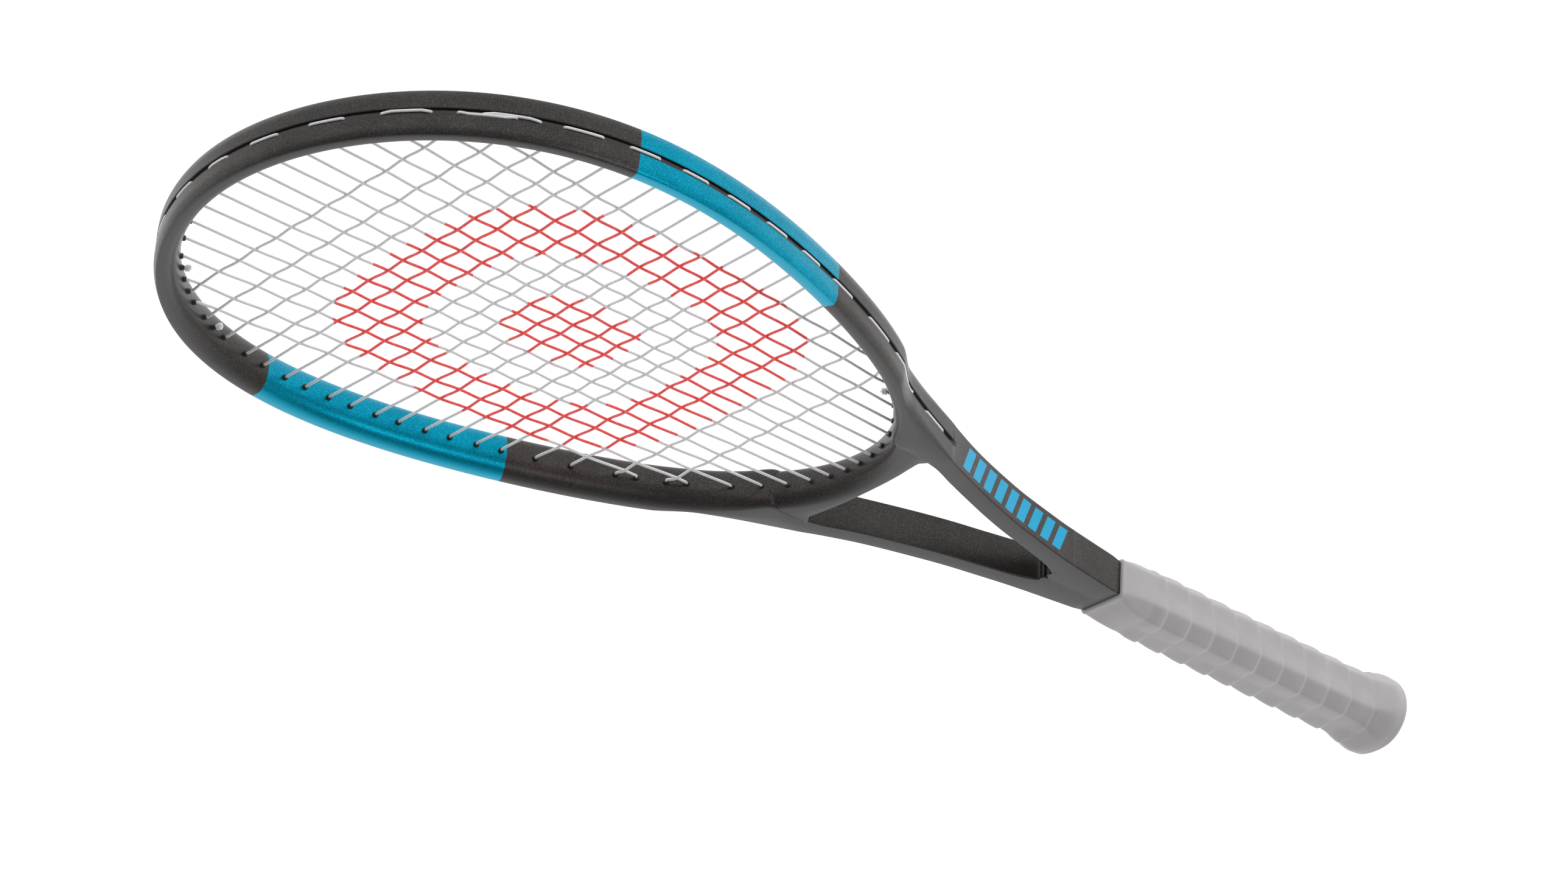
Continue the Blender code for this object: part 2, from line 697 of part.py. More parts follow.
def make_door():
    """Trap door: a plate flush with the butt and a plug that snaps into the cap; it slides out along X."""
    rings = []
    for x, grow in ((BUTT_X, DOOR_FLANGE), (BUTT_X + DOOR_THICK, DOOR_FLANGE), (BUTT_X + DOOR_THICK, 0.0),
                    (BUTT_X + DOOR_THICK + DOOR_TAIL - 0.0026, 0.0)):
        reach_y, reach_z = DOOR[0] / 2 + grow, DOOR[1] / 2 + grow
        corners = ((reach_y, reach_z), (-reach_y, reach_z), (-reach_y, -reach_z), (reach_y, -reach_z))
        rings.append([Vector((x - BUTT_X, y, z)) for y, z in corners])
    piece = loft("butt_trap_door", rings, PLASTIC)
    piece.location.x = BUTT_X
    return piece


def make_grip():
    """Wrapped grip from the collar to the butt, over pallet and butt cap."""
    top = GRIP_TOP_X - COLLAR_LENGTH - CLEAR
    outer = [octagon(top, GRIP), octagon(mix(top, FLARE_X, 0.5), GRIP)]
    inner = [octagon(top, PALLET, CLEAR), octagon(mix(top, FLARE_X, 0.5), PALLET, CLEAR)]
    for number in range(FLARE_STEPS + 1):
        x = mix(FLARE_X, GRIP_END_X, number / FLARE_STEPS)
        outer.append(octagon(x, flare_size(x)))
        inner.append(octagon(x, flare_size(x), -SKIN - 0.0003))
    return shell("grip_wrap", outer, inner, GRIP_FOAM)


def make_collar():
    """Smooth collar that closes the top of the grip over the shaft."""
    start = (2 * 0.0132 + 0.0010, 2 * 0.0093 + 0.0010, 0.0012)
    places = ((0.0, start), (0.006, (0.0286, 0.0226, 0.0030)), (0.013, (0.0306, 0.0262, 0.0052)),
              (COLLAR_LENGTH, GRIP))
    outer = [octagon(GRIP_TOP_X - reach, size) for reach, size in places]
    hollow = ((0.0, (2 * 0.0129 + 2 * CLEAR, 2 * 0.0090 + 2 * CLEAR, 0.0006)),
              (0.006, (2 * 0.0112 + 2 * CLEAR, 2 * 0.0082 + 2 * CLEAR, 0.0006)),
              (0.013, (2 * 0.0110 + 2 * CLEAR, 2 * 0.0080 + 2 * CLEAR, 0.0006)),
              (COLLAR_LENGTH, (2 * 0.0110 + 2 * CLEAR, 2 * 0.0080 + 2 * CLEAR, 0.0006)))
    inner = [octagon(GRIP_TOP_X - reach, size) for reach, size in hollow]
    return shell("grip_collar", outer, inner, GRIP_FOAM)


for old in list(bpy.data.objects):
    bpy.data.objects.remove(old, do_unlink=True)

RACKET = bpy.data.collections.new("tennis_racket")
CUTTERS = bpy.data.collections.new("cutters")
bpy.context.scene.collection.children.link(RACKET)
bpy.context.scene.collection.children.link(CUTTERS)

CARBON = new_material("carbon_frame", (0.045, 0.043, 0.042), 0.42, 0.35)
GROMMET = new_material("grommet_nylon", (0.012, 0.012, 0.012), 0.50)
POLYESTER = new_material("string_polyester", (0.72, 0.72, 0.72), 0.35)
FOAM = new_material("pallet_foam", (0.16, 0.15, 0.13), 0.80)
PLASTIC = new_material("butt_plastic", (0.03, 0.03, 0.03), 0.45)
STEEL = new_material("staple_steel", (0.60, 0.60, 0.60), 0.30, 1.0)
GRIP_FOAM = new_material("grip_polyurethane", (0.42, 0.40, 0.40), 0.60)

GROUPS = strip_holes()
make_hairpin([pair for name, pairs in GROUPS.items() if name != "bridge_grommet_strip" for pair in pairs])
make_bridge(GROUPS["bridge_grommet_strip"])
make_strips(GROUPS)
make_string("main_string", main_route())
make_string("cross_string", cross_route())
make_knot("main_knot_left", MAIN_TIE_U, 1)
make_knot("main_knot_right", MAIN_TIE_U, -1)
make_knot("cross_knot_head", CROSS_HEAD_TIE_U, CROSS_START)
make_knot("cross_knot_throat", CROSS_THROAT_TIE_U, -CROSS_START)
make_pallet("pallet_upper", 1)
make_pallet("pallet_lower", -1)
make_butt_cap()
make_door()
staple_form("cap_staple_upper", 1)
staple_form("cap_staple_lower", -1)
make_grip()
make_collar()
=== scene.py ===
"""Looks of the tennis racket: lacquered frame, woven strings in nylon grommets, wound grip, floor and light.

Everything is in metres in the racket's own frame: X runs from the butt (-X) to the tip (+X), Y across the
head, Z square to the strings. Stations "s" are distances from the inner face of the hoop's tip toward the
butt.
"""

import math

import bmesh
import bpy
from mathutils import Matrix, Vector


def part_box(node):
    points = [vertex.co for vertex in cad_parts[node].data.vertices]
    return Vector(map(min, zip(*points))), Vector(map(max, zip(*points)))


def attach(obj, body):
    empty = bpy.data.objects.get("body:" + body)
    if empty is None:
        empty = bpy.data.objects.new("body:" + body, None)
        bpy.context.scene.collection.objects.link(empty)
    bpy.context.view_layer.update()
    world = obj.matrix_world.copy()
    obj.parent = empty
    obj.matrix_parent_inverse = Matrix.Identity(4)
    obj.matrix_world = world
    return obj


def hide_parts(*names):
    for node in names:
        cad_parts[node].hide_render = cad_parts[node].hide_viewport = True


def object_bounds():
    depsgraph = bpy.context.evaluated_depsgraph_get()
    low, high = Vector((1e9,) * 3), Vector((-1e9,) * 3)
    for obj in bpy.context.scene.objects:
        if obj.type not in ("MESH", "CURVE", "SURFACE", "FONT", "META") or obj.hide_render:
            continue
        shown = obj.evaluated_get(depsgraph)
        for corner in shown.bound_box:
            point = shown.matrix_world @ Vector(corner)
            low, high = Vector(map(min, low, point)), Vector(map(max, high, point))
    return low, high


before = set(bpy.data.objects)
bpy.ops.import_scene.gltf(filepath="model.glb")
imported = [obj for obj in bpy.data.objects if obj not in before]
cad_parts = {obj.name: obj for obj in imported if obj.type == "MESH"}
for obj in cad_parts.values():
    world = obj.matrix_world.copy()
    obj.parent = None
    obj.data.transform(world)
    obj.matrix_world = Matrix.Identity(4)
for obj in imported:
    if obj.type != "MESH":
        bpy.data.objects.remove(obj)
CAD_BOX = [[float(value) for value in corner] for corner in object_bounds()]

BUTT_X = CAD_BOX[0][0]
TIP_X = CAD_BOX[1][0]

# Hoop: an oval whose width swells by three cosines of the angle
WALL = 0.0105
INNER_TIP_X = TIP_X - WALL
HOOP_HALF_LENGTH = 0.168
HOOP_HALF_WIDTH = 0.1226
EGG = (0.1875, 0.027, -0.027)
HOOP_END = math.radians(134)
HOOP_STEPS = 150
PROBE = 0.001
SOLVE_ROUNDS = 50
UP = Vector((0, 0, 1))

# Half depth of hoop, arms and shaft, as (station, half depth)
BEAM = ((0.0, 0.0105), (0.29, 0.0105), (0.345, 0.0097), (0.37, 0.0091),
        (0.45, 0.0092), (0.484, 0.0091), (0.496, 0.0080), (0.70, 0.0080))

# Arms and shaft: the inner and the outer edge, each as (station, y), from the hoop's end into the grip
ARM = (
    ((0.2960, 0.0668), (0.3030, 0.0728)),
    ((0.3060, 0.0588), (0.3140, 0.0665)),
    ((0.3150, 0.0502), (0.3250, 0.0610)),
    ((0.3230, 0.0403), (0.3370, 0.0555)),
    ((0.3300, 0.0403), (0.3440, 0.0523)),
    ((0.3370, 0.0403), (0.3500, 0.0496)),
    ((0.3505, 0.0381), (0.3565, 0.0466)),
    ((0.3652, 0.0322), (0.3700, 0.0411)),
    ((0.3799, 0.0269), (0.3840, 0.0359)),
    ((0.3965, 0.0213), (0.4000, 0.0307)),
    ((0.4120, 0.0168), (0.4150, 0.0263)),
    ((0.4275, 0.0131), (0.4300, 0.0228)),
    ((0.4457, 0.0083), (0.4480, 0.0189)),
    ((0.4535, 0.0043), (0.4545, 0.0178)),
    ((0.4562, 0.0000), (0.4590, 0.0170)),
    ((0.4840, 0.0000), (0.4840, 0.0132)),
    ((0.4960, 0.0000), (0.4960, 0.0110)),
)
ARM_STEPS = 9
LEAD_IN = 0.07

# Where the arms meet, and where their inner side turns from round to square
CROTCH = 0.4562
CROTCH_LEAD = 0.0010
SQUARE_FROM, SQUARE_TO = 0.300, 0.352

# Section: rounded inner side, outer lobes, and the string groove between them
INNER_ROUND = 0.0058
INNER_FLAT = 0.0003
ARM_EDGE = 0.0009
NO_EDGE = 0.00001
LOBE = (0.0015, 0.0050)
ARM_LOBE = (0.0005, 0.0010)
LOBE_FROM = 0.04
CREASE = 0.0002
CREASE_ANGLE = math.radians(34)
GROOVE_HALF = 0.0014
GROOVE_DEPTH = 0.0016
GROOVE_LIP = 0.0003
GROOVE_TAPER = 0.0001
GROOVE_FADE = (0.343, 0.349)
ROUND_POINTS = 9
LOBE_POINTS = 7

# Points of a half section; its faces, counted from the inner side, that carry print or floor the groove
HALF_COUNT = 1 + ROUND_POINTS + 1 + 2 + LOBE_POINTS + 1 + 4
PRINTED_FACES = range(ROUND_POINTS + 3, HALF_COUNT)
FLOOR_FACES = (HALF_COUNT - 3, HALF_COUNT - 2)

# Material slots, and the arm rows where the black groove floor ends and where print may begin
BLUE_SLOT, PRINTED_SLOT, NYLON_SLOT = 1, 2, 3
BRIDGE_NYLON_SLOT = 1
FLOOR_ROWS = 6
PLAIN_ROWS = 5

# Throat bridge: outer edge as (y, s), curved in the middle and flared at its ends into the arms
BRIDGE_OUTER = ((0.0, 0.3465), (0.012, 0.3463), (0.022, 0.3457), (0.0310, 0.3447),
                (0.0362, 0.3443), (0.0382, 0.3450), (0.0391, 0.3472), (0.0470, 0.3485))
BRIDGE_CURVED = 5
ROUNDING = 1e-9
BRIDGE_EDGE = (0.0020, 0.0034)
BRIDGE_BEAM = ((0.0, 0.0095), (0.026, 0.0096), (0.038, 0.00966), (0.047, 0.00960))
BRIDGE_ANGLES = (math.radians(100), math.radians(182))

# Sections across half of the bridge: stretches as (first y, step, count), then single ones inside the arm
BRIDGE_STEPS = ((0.0, 0.0011, 27), (0.0290, 0.0004, 16))
BRIDGE_ENDS = (0.0366, 0.0385, 0.0410, 0.0435, 0.0458)

# Blue paint, as hoop angles, and the slanted bars on the arms' sides
PAINT = (math.radians(67.8), math.radians(108.8))
BARS_FROM, BARS_TO = 0.3640, 0.4480
BAR_PITCH = 0.0096
BAR_SHARE = 0.64
BAR_SLANT = 0.45
BAR_HALF_HEIGHT = 0.0062

# Mains: their y at one station, counted from the middle, and how fast they draw together toward the throat
STRING = 0.0013
STRING_SMOOTH = 3
MAINS = (0.0053, 0.0165, 0.0278, 0.0399, 0.0515, 0.0630, 0.0767, 0.0889)
LAST_MAIN = len(MAINS) - 1
MAINS_AT = 0.170
FAN = 0.98
BRIDGE_MAINS = (0, 1, 2, 3)
SHOULDER_MAINS = (4, 5, 6, 7)

# Crosses: station of the first, the gaps to the next ones, and the strips they pass through
CROSS_FIRST = 0.0416
CROSS_GAPS = (0.0175, 0.0159, 0.0147, 0.0111, 0.0130, 0.0112, 0.0126, 0.0112, 0.0124,
              0.0111, 0.0126, 0.0114, 0.0121, 0.0111, 0.0150, 0.0152, 0.0186, 0.0205)
CROSS_START = 1
SIDE_CROSSES = range(1, 16)
SHOULDER_CROSSES = range(16, 19)

# Weave: height of a string's swing at a crossing, and how near the hoop a crossing still counts
WEAVE = 0.00045
MAIN_SWAY = 0.00030
WAVE_STEPS = 4
CROSS_CLEAR = 0.003

# String in the groove: how deep it lies, how it turns in, and the lanes where two stretches pass each other
SINK = 0.0007
LANE = 0.0006
LANE_POINTS = 6
TURN_IN = 0.0008
TIP_STEP = 0.02
MOUTH_LEAD, GROOVE_LEAD = 0.0006, 0.0004
CROWDED_CROSSES = (0, 1, 17)
LOW_HEAD_MAIN = 6
LOW_THROAT_MAINS = (6, 7)

# Rounding of the string's corners
BEND = 0.0012
BEND_SHARE = 0.45
BEND_CURVE = (0.0, 0.25, 0.5, 0.75, 1.0)
NEARLY_STRAIGHT = math.radians(160)
SAME_PLACE = 1e-6

# Tie-off knots
KNOT = 0.0032
KNOT_TURNS, KNOT_POINTS = 3, 54
KNOT_SPREAD = 0.55
KNOT_TAIL = 0.35
KNOT_SLACK = 0.00005

# Grommets: a barrel's profile as (reach into the hole, radius), and the band that joins the barrels
BARREL = 0.00125
BARREL_MOUTH = 0.0008
BARREL_PROUD = 0.0013
BARREL_SIDES = 14
BARREL_PROFILE = (
    (0.0012, BARREL * 1.25),
    (0.0002, BARREL * 1.2),
    (-0.0004, BARREL),
    (-BARREL_PROUD + 0.0004, BARREL),
    (-BARREL_PROUD + 0.0001, BARREL * 0.9),
    (-BARREL_PROUD, BARREL * 0.75),
    (-BARREL_PROUD + 0.0002, BARREL_MOUTH),
    (0.0010, BARREL_MOUTH * 0.95),
)
BAND = 0.0005
BAND_SUNK = 0.0002
BAND_SHOULDER = 0.5
BAND_TOP = 0.7
BAND_LEAST, BAND_PER_UNIT = 8, 30
BRIDGE_BAND_HALF, BRIDGE_BAND_STEPS = 0.0335, 24

# Where one strip ends and the next begins: a hoop angle, a station and an arm row
HEAD_SPLIT = math.radians(43)
SHOULDER_SPLIT = 0.242
SHOULDER_ROWS = 5.0

# Red stencil on the strings: a broad ring round a spot
STENCIL_S = 0.174
STENCIL_HALF = (0.092, 0.088)
STENCIL_RING = 0.62
STENCIL_SPOT = 0.30
STENCIL_SQUARE = 3.0

# Handle: octagons as (width, depth, bevel), how crisp their corners are, and the rim at the butt
GRIP_TOP_X = -0.1575
COLLAR_LENGTH = 0.0205
GRIP = (0.0306, 0.0266, 0.0058)
FLARE = (0.0428, 0.0378, 0.0110)
FLARE_START_X = -0.3175
FLARE_FULL = 0.004
SOFT_CORNER = 52
ROUND_CORNER = 7
GRIP_POINTS = 112
GRIP_ANGLES = [2 * math.pi * number / GRIP_POINTS for number in range(GRIP_POINTS)]
GRIP_STEP = 0.0006
GRIP_LAP = 0.0002
RIM = 0.0030
RIM_GAP = 0.0003
RIM_POINTS = 8
RIM_LINING = ((0.0003, 0.0008), (0.0020, 0.0010))

# Wound strip: its pitch, its swell, the drop at its edge, and how it fades in and out along the handle
WRAP_PITCH = 0.0153
WRAP_START = 0.5023
WRAP_END_X = -0.3262
WRAP_SWELL = 0.0010
WRAP_FLAT = 0.06
WRAP_CREST = 1.4
WRAP_FULL, WRAP_DROP = 0.80, 0.86
WRAP_LEAD = 0.001
WRAP_IN, WRAP_OUT = 0.006, 0.0005
SEAM = 0.0006
SEAM_LAYER = "seam"

# Collar, from the shaft to the grip: (reach from its top, octagon, crispness)
COLLAR = (
    (-0.0002, (0.0262, 0.0186, 0.0010), 60),
    (0.0, (0.0270, 0.0194, 0.0012), 50),
    (0.0005, (0.0277, 0.0201, 0.0014), 44),
    (0.0011, (0.0279, 0.0204, 0.0016), 44),
    (0.0018, (0.0276, 0.0203, 0.0018), 40),
    (0.0040, (0.0284, 0.0215, 0.0026), 36),
    (0.0075, (0.0296, 0.0238, 0.0040), 32),
    (0.0115, (0.0304, 0.0256, 0.0052), SOFT_CORNER),
    (0.0155, (0.0307, 0.0265, 0.0057), SOFT_CORNER),
    (COLLAR_LENGTH + 0.0006, GRIP, SOFT_CORNER),
)
COLLAR_STEPS = 4

# Plate inside the butt's rim: its dished edge as (reach, inset), and the opening round the trap door
PLATE_EDGE = ((0.0024, 0.0006), (0.0003, 0.0006), (0.0001, 0.0009), (0.0, 0.0013))
PLATE_DEPTH = 0.0024
DOOR_GAP = 0.0003
DOOR_SQUARE = 16

# Lacquer: flake, mottle, and how level a face is when it turns satin and takes a lighter colour, painted
# light on the level faces
FLAKE_SCALE = 5200.0
GLINT_POWER = 5.0
MOTTLE_SCALE, MOTTLE_SHARE = 55.0, 0.25
LEVEL_FROM, LEVEL_TO = 0.55, 0.97
LACQUER_SPECULAR = 0.18
ROUGH_SPREAD = 0.12

# Colours; a lacquer is (dark, light, level face, metallic, roughness); the lighter level face colour is
# painted light, standing for the light that the level faces catch
CARBON_LOOK = ((0.024, 0.023, 0.023, 1), (0.118, 0.108, 0.100, 1), (0.072, 0.068, 0.068, 1), 0.70, 0.34)
BLUE_LOOK = ((0.000, 0.145, 0.245, 1), (0.002, 0.510, 0.700, 1), (0.004, 0.470, 0.700, 1), 0.85, 0.32)
BAR_BLUE = (0.004, 0.34, 0.58, 1)
NYLON_BLACKS = ((0.006, 0.006, 0.006, 1), (0.020, 0.019, 0.018, 1))
STRING_GREYS = ((0.68, 0.68, 0.69, 1), (0.82, 0.82, 0.83, 1))
STENCIL_RED = (0.95, 0.026, 0.020, 1)
INK_WEAR = (0.35, 0.72)
GRIP_GREYS = ((0.400, 0.380, 0.385, 1), (0.480, 0.458, 0.463, 1))
GRIP_SEAM = (0.56, 0.54, 0.53, 1)
SEAM_TINT = 0.02
GRIP_SHEEN = 0.10
FLOOR_GREYS = ((0.30, 0.30, 0.30, 1), (0.32, 0.32, 0.32, 1))

# Camera, floor and light
CAMERA_AT = Vector((1.2359, -1.4661, 1.0536))
CAMERA_BACK = Vector((0.55363, -0.67704, 0.48488))
CAMERA_UP = Vector((0.35929, -0.33109, -0.87252))
LENS = 113.5
FLOOR_SIZE = 8.0
FLARE_LOW, HOOP_LOW = 0.0190, 0.0106
FLOOR_TILT = math.atan2(FLARE_LOW - HOOP_LOW, 0.67)
FLOOR_GLOW = 1.05
SOFTBOX_AT = Vector((0.05, -1.35, 0.42))
SOFTBOX_AIM = Vector((0.24, -0.06, 0.0))
SOFTBOX_SIZE = (0.9, 0.16)
SOFTBOX_WATTS = 2.4
SKY_FAR = 1.35
SKY_NEAR = 0.34
SKY_RAMP = (-0.40, 0.60)


def mix(a, b, k):
    """Value or vector between a and b."""
    return a + (b - a) * k


def clamp(value):
    """Value kept between 0 and 1."""
    return min(max(value, 0.0), 1.0)


def ease(value):
    """Smooth step of a value between 0 and 1."""
    value = clamp(value)
    return value * value * (3 - 2 * value)


def along(table, key):
    """Straight-line reading of a table of (key, value) pairs."""
    for (key0, value0), (key1, value1) in zip(table, table[1:]):
        if key <= key1:
            return mix(value0, value1, (key - key0) / (key1 - key0))
    return table[-1][1]


def flowing(points, number, k):
    """Point on the smooth curve through a list of vectors, after the one with that number."""
    last = len(points) - 1
    p0, p1 = points[max(number - 1, 0)], points[number]
    p2, p3 = points[min(number + 1, last)], points[min(number + 2, last)]
    start, end = (p2 - p0) / 2, (p3 - p1) / 2
    return ((2 * k ** 3 - 3 * k * k + 1) * p1 + (k ** 3 - 2 * k * k + k) * start
            + (3 * k * k - 2 * k ** 3) * p2 + (k ** 3 - k * k) * end)


def at(s, y, z=0.0):
    """Point at station s."""
    return Vector((INNER_TIP_X - s, y, z))


def station(point):
    """Station of a point."""
    return INNER_TIP_X - point.x


def egg(t):
    """Inner face of the hoop at angle t, 0 at the tip and pi at the bridge."""
    swell = 1 + EGG[0] * math.cos(t) + EGG[1] * math.cos(2 * t) + EGG[2] * math.cos(3 * t)
    return at(HOOP_HALF_LENGTH * (1 - math.cos(t)), HOOP_HALF_WIDTH * math.sin(t) * swell)


def egg_normal(t):
    """Direction from the inner face of the hoop to its outer face."""
    step = egg(t + PROBE) - egg(t - PROBE)
    return Vector((step.y, -step.x, 0)).normalized()


def egg_angle(s):
    """Angle at which the hoop's inner face passes station s."""
    return math.acos(1 - s / HOOP_HALF_LENGTH)


def solve(function, low, high):
    """Root of a function that changes sign once between low and high."""
    rising = function(high) > 0
    for _ in range(SOLVE_ROUNDS):
        middle = (low + high) / 2
        if (function(middle) > 0) == rising:
            high = middle
        else:
            low = middle
    return (low + high) / 2


def hoop_edges(t):
    """Inner and outer edge of the hoop."""
    inner = egg(t)
    return inner, inner + egg_normal(t) * WALL


ARM_INNER, ARM_OUTER = (
    [hoop_edges(HOOP_END - LEAD_IN)[edge], hoop_edges(HOOP_END)[edge]] + [at(*row[edge]) for row in ARM]
    for edge in (0, 1)
)


def rim(u):
    """Inner and outer edge at u: the hoop's angle, then HOOP_END plus the arm station's number."""
    if u <= HOOP_END:
        return hoop_edges(u)
    number = min(int(u - HOOP_END), len(ARM) - 1)
    k = u - HOOP_END - number
    inner, outer = flowing(ARM_INNER, number + 1, k), flowing(ARM_OUTER, number + 1, k)
    inner.y = max(inner.y, 0.0)
    return inner, outer


def channel(u, sink, z=0.0, side=1):
    """Point in the string groove, at a depth under the outer edge."""
    inner, outer = rim(u)
    point = outer + (inner - outer).normalized() * sink
    return Vector((point.x, point.y * side, z))


def new_object(name, form, *materials):
    """Object from a bmesh, smooth with crisp creases."""
    mesh = bpy.data.meshes.new(name)
    bmesh.ops.recalc_face_normals(form, faces=form.faces)
    form.to_mesh(mesh)
    form.free()
    for material in materials:
        mesh.materials.append(material)
    mesh.shade_smooth()
    mesh.set_sharp_from_angle(angle=CREASE_ANGLE)
    piece = bpy.data.objects.new(name, mesh)
    bpy.context.scene.collection.objects.link(piece)
    return piece


def skin(form, rings, caps=True):
    """Skin through rings of equal length; returns its faces by span, then by place in the ring."""
    loops = [[form.verts.new(point) for point in ring] for ring in rings]
    count = len(loops[0])
    spans = []
    for first, second in zip(loops, loops[1:]):
        faces = []
        for number in range(count):
            after = (number + 1) % count
            faces.append(form.faces.new((first[number], first[after], second[after], second[number])))
        spans.append(faces)
    if caps:
        form.faces.new(loops[0])
        form.faces.new(loops[-1])
    return spans


def half_section(width, depth, inner_round, lobe, groove):
    """Half of a section, from the inner side to the groove's floor, as (reach from inner edge, height)."""
    round_w, round_z = inner_round
    lobe_w, lobe_z = lobe
    floor_w = width - GROOVE_DEPTH * groove
    points = [(0.0, 0.0)]
    for number in range(ROUND_POINTS + 1):
        angle = math.pi / 2 * number / ROUND_POINTS
        points.append((round_w * (1 - math.cos(angle)), depth - round_z * (1 - math.sin(angle))))
    points += [(mix(round_w, width - lobe_w, 0.5), depth), (width - lobe_w - CREASE, depth)]
    for number in range(LOBE_POINTS + 1):
        k = mix(LOBE_FROM, 1.0, number / LOBE_POINTS)
        points.append((width - lobe_w * (1 - k) ** 2, depth - lobe_z * k))
    points += [(width, GROOVE_HALF + GROOVE_LIP), (width - GROOVE_LIP * groove, GROOVE_HALF)]
    points += [(floor_w, GROOVE_HALF - GROOVE_TAPER), (floor_w, 0.0)]
    return points


def half_place(place):
    """Place of a ring's face counted in its own half, alike above and below the middle plane."""
    return place if place < HALF_COUNT - 1 else 2 * (HALF_COUNT - 1) - 1 - place


def ring_of(inner, outer, half):
    """Closed ring of a half section between an inner and an outer edge."""
    out = (outer - inner).normalized()
    upper = [inner + out * w + Vector((0, 0, z)) for w, z in half]
    lower = [inner + out * w - Vector((0, 0, z)) for w, z in half[1:-1]]
    return upper + lower[::-1]


def frame_ring(u, side):
    """Section of the hoop, arm or shaft at u."""
    inner, outer = rim(u)
    s = station((inner + outer) / 2)
    depth = along(BEAM, s)
    square = ease((s - SQUARE_FROM) / (SQUARE_TO - SQUARE_FROM))
    inner_round = (mix(INNER_ROUND, ARM_EDGE, square), mix(depth - INNER_FLAT, ARM_EDGE, square))
    if station(inner) > CROTCH - CROTCH_LEAD:
        inner_round = (NO_EDGE, NO_EDGE)
    lobe = (mix(LOBE[0], ARM_LOBE[0], square), mix(LOBE[1], ARM_LOBE[1], square))
    groove = clamp((GROOVE_FADE[1] - s) / (GROOVE_FADE[1] - GROOVE_FADE[0]))
    half = half_section((outer - inner).length, depth, inner_round, lobe, groove)
    turn = Vector((1, side, 1))
    return [point * turn for point in ring_of(inner, outer, half)]


def frame_stations():
    """Values of u for the frame's sections on one side, with sections on the paint's edges."""
    values = {HOOP_END * number / HOOP_STEPS for number in range(HOOP_STEPS + 1)}
    values |= {HOOP_END + number / ARM_STEPS for number in range(1, len(ARM) * ARM_STEPS + 1)}
    return sorted(values | set(PAINT))


def map_sides(piece):
    """UV map: the station along the racket, and the height over the middle plane."""
    layer = piece.data.uv_layers.new(name="UVMap")
    for loop in piece.data.loops:
        point = piece.data.vertices[loop.vertex_index].co
        layer.data[loop.index].uv = (station(point), point.z)


def make_frame(carbon, blue, printed, nylon):
    """Hoop, arms and shaft as one lofted mesh."""
    places = frame_stations()
    walk = [(u, -1) for u in reversed(places[1:])] + [(u, 1) for u in places]
    form = bmesh.new()
    spans = skin(form, [frame_ring(u, side) for u, side in walk])
    for number, faces in enumerate(spans):
        middle = (walk[number][0] + walk[number + 1][0]) / 2
        painted = PAINT[0] < middle < PAINT[1]
        for place, face in enumerate(faces):
            if half_place(place) in FLOOR_FACES and middle < HOOP_END + FLOOR_ROWS:
                face.material_index = NYLON_SLOT
            elif painted:
                face.material_index = BLUE_SLOT
            elif half_place(place) in PRINTED_FACES and middle > HOOP_END + PLAIN_ROWS:
                face.material_index = PRINTED_SLOT
    piece = new_object("frame_shell", form, carbon, blue, printed, nylon)
    map_sides(piece)
    return piece


def bridge_edges(y):
    """Inner and outer edge of the throat bridge at a Y."""
    t = solve(lambda angle: abs(y) - egg(angle).y, *BRIDGE_ANGLES)
    inner = egg(t)
    keys = [Vector((key, value)) for key, value in BRIDGE_OUTER]
    number = max(place for place in range(len(keys) - 1) if keys[place].x <= abs(y) + ROUNDING)
    k = (abs(y) - keys[number].x) / (keys[number + 1].x - keys[number].x)
    straight = mix(keys[number].y, keys[number + 1].y, k)
    outer = flowing(keys, number, k).y if number < BRIDGE_CURVED else straight
    return Vector((inner.x, y, 0)), at(outer, y)


def make_bridge(carbon, nylon):
    """Throat bridge between the arms."""
    half = [first + step * number for first, step, count in BRIDGE_STEPS for number in range(count)]
    half += BRIDGE_ENDS
    rings = []
    for y in [-value for value in reversed(half[1:])] + half:
        inner, outer = bridge_edges(y)
        depth = along(BRIDGE_BEAM, abs(y))
        inner_round = (INNER_ROUND, depth - INNER_FLAT)
        shape = half_section((outer - inner).length, depth, inner_round, BRIDGE_EDGE, 1.0)
        rings.append(ring_of(inner, outer, shape))
    form = bmesh.new()
    for faces in skin(form, rings):
        for place, face in enumerate(faces):
            if half_place(place) in FLOOR_FACES:
                face.material_index = BRIDGE_NYLON_SLOT
    return new_object("bridge_shell", form, carbon, nylon)


def main_y(number, s):
    """Y of a main string, counted from the middle, at station s."""
    return MAINS[number] * (1 - FAN * (s - MAINS_AT))


def main_angle(number, low, high):
    """Angle at which a main string meets the hoop's inner face."""
    return solve(lambda angle: egg(angle).y - main_y(number, station(egg(angle))), low, high)


# Where each string meets the hoop, as hoop angles or values of u, and where its ends are tied off
WIDEST = math.radians(76)
CROSS_S = [CROSS_FIRST + sum(CROSS_GAPS[:number]) for number in range(len(CROSS_GAPS) + 1)]
HEAD_T = [main_angle(number, 0.0, WIDEST) for number in range(len(MAINS))]
THROAT_T = [main_angle(number, WIDEST, math.pi) for number in range(len(MAINS))]
CROSS_U = [egg_angle(s) for s in CROSS_S[:-1]] + [HOOP_END + 0.32]
THROAT_U = {7: THROAT_T[7], 6: HOOP_END + 1.0, 5: HOOP_END + 3.0, 4: HOOP_END + 4.6}
MAIN_TIE_U = math.radians(53)
CROSS_HEAD_TIE_U = math.radians(33.7)
CROSS_THROAT_TIE_U = HOOP_END + 1.6


def hoop_hole(mouth, u, side):
    """Hole from a point on the inner face to the groove at u, as its two ends."""
    return Vector((mouth.x, mouth.y * side, 0)), channel(u, SINK, side=side)


def head_main_hole(number, side):
    """Hole of a main string at the head."""
    return hoop_hole(egg(HEAD_T[number]), HEAD_T[number], side)


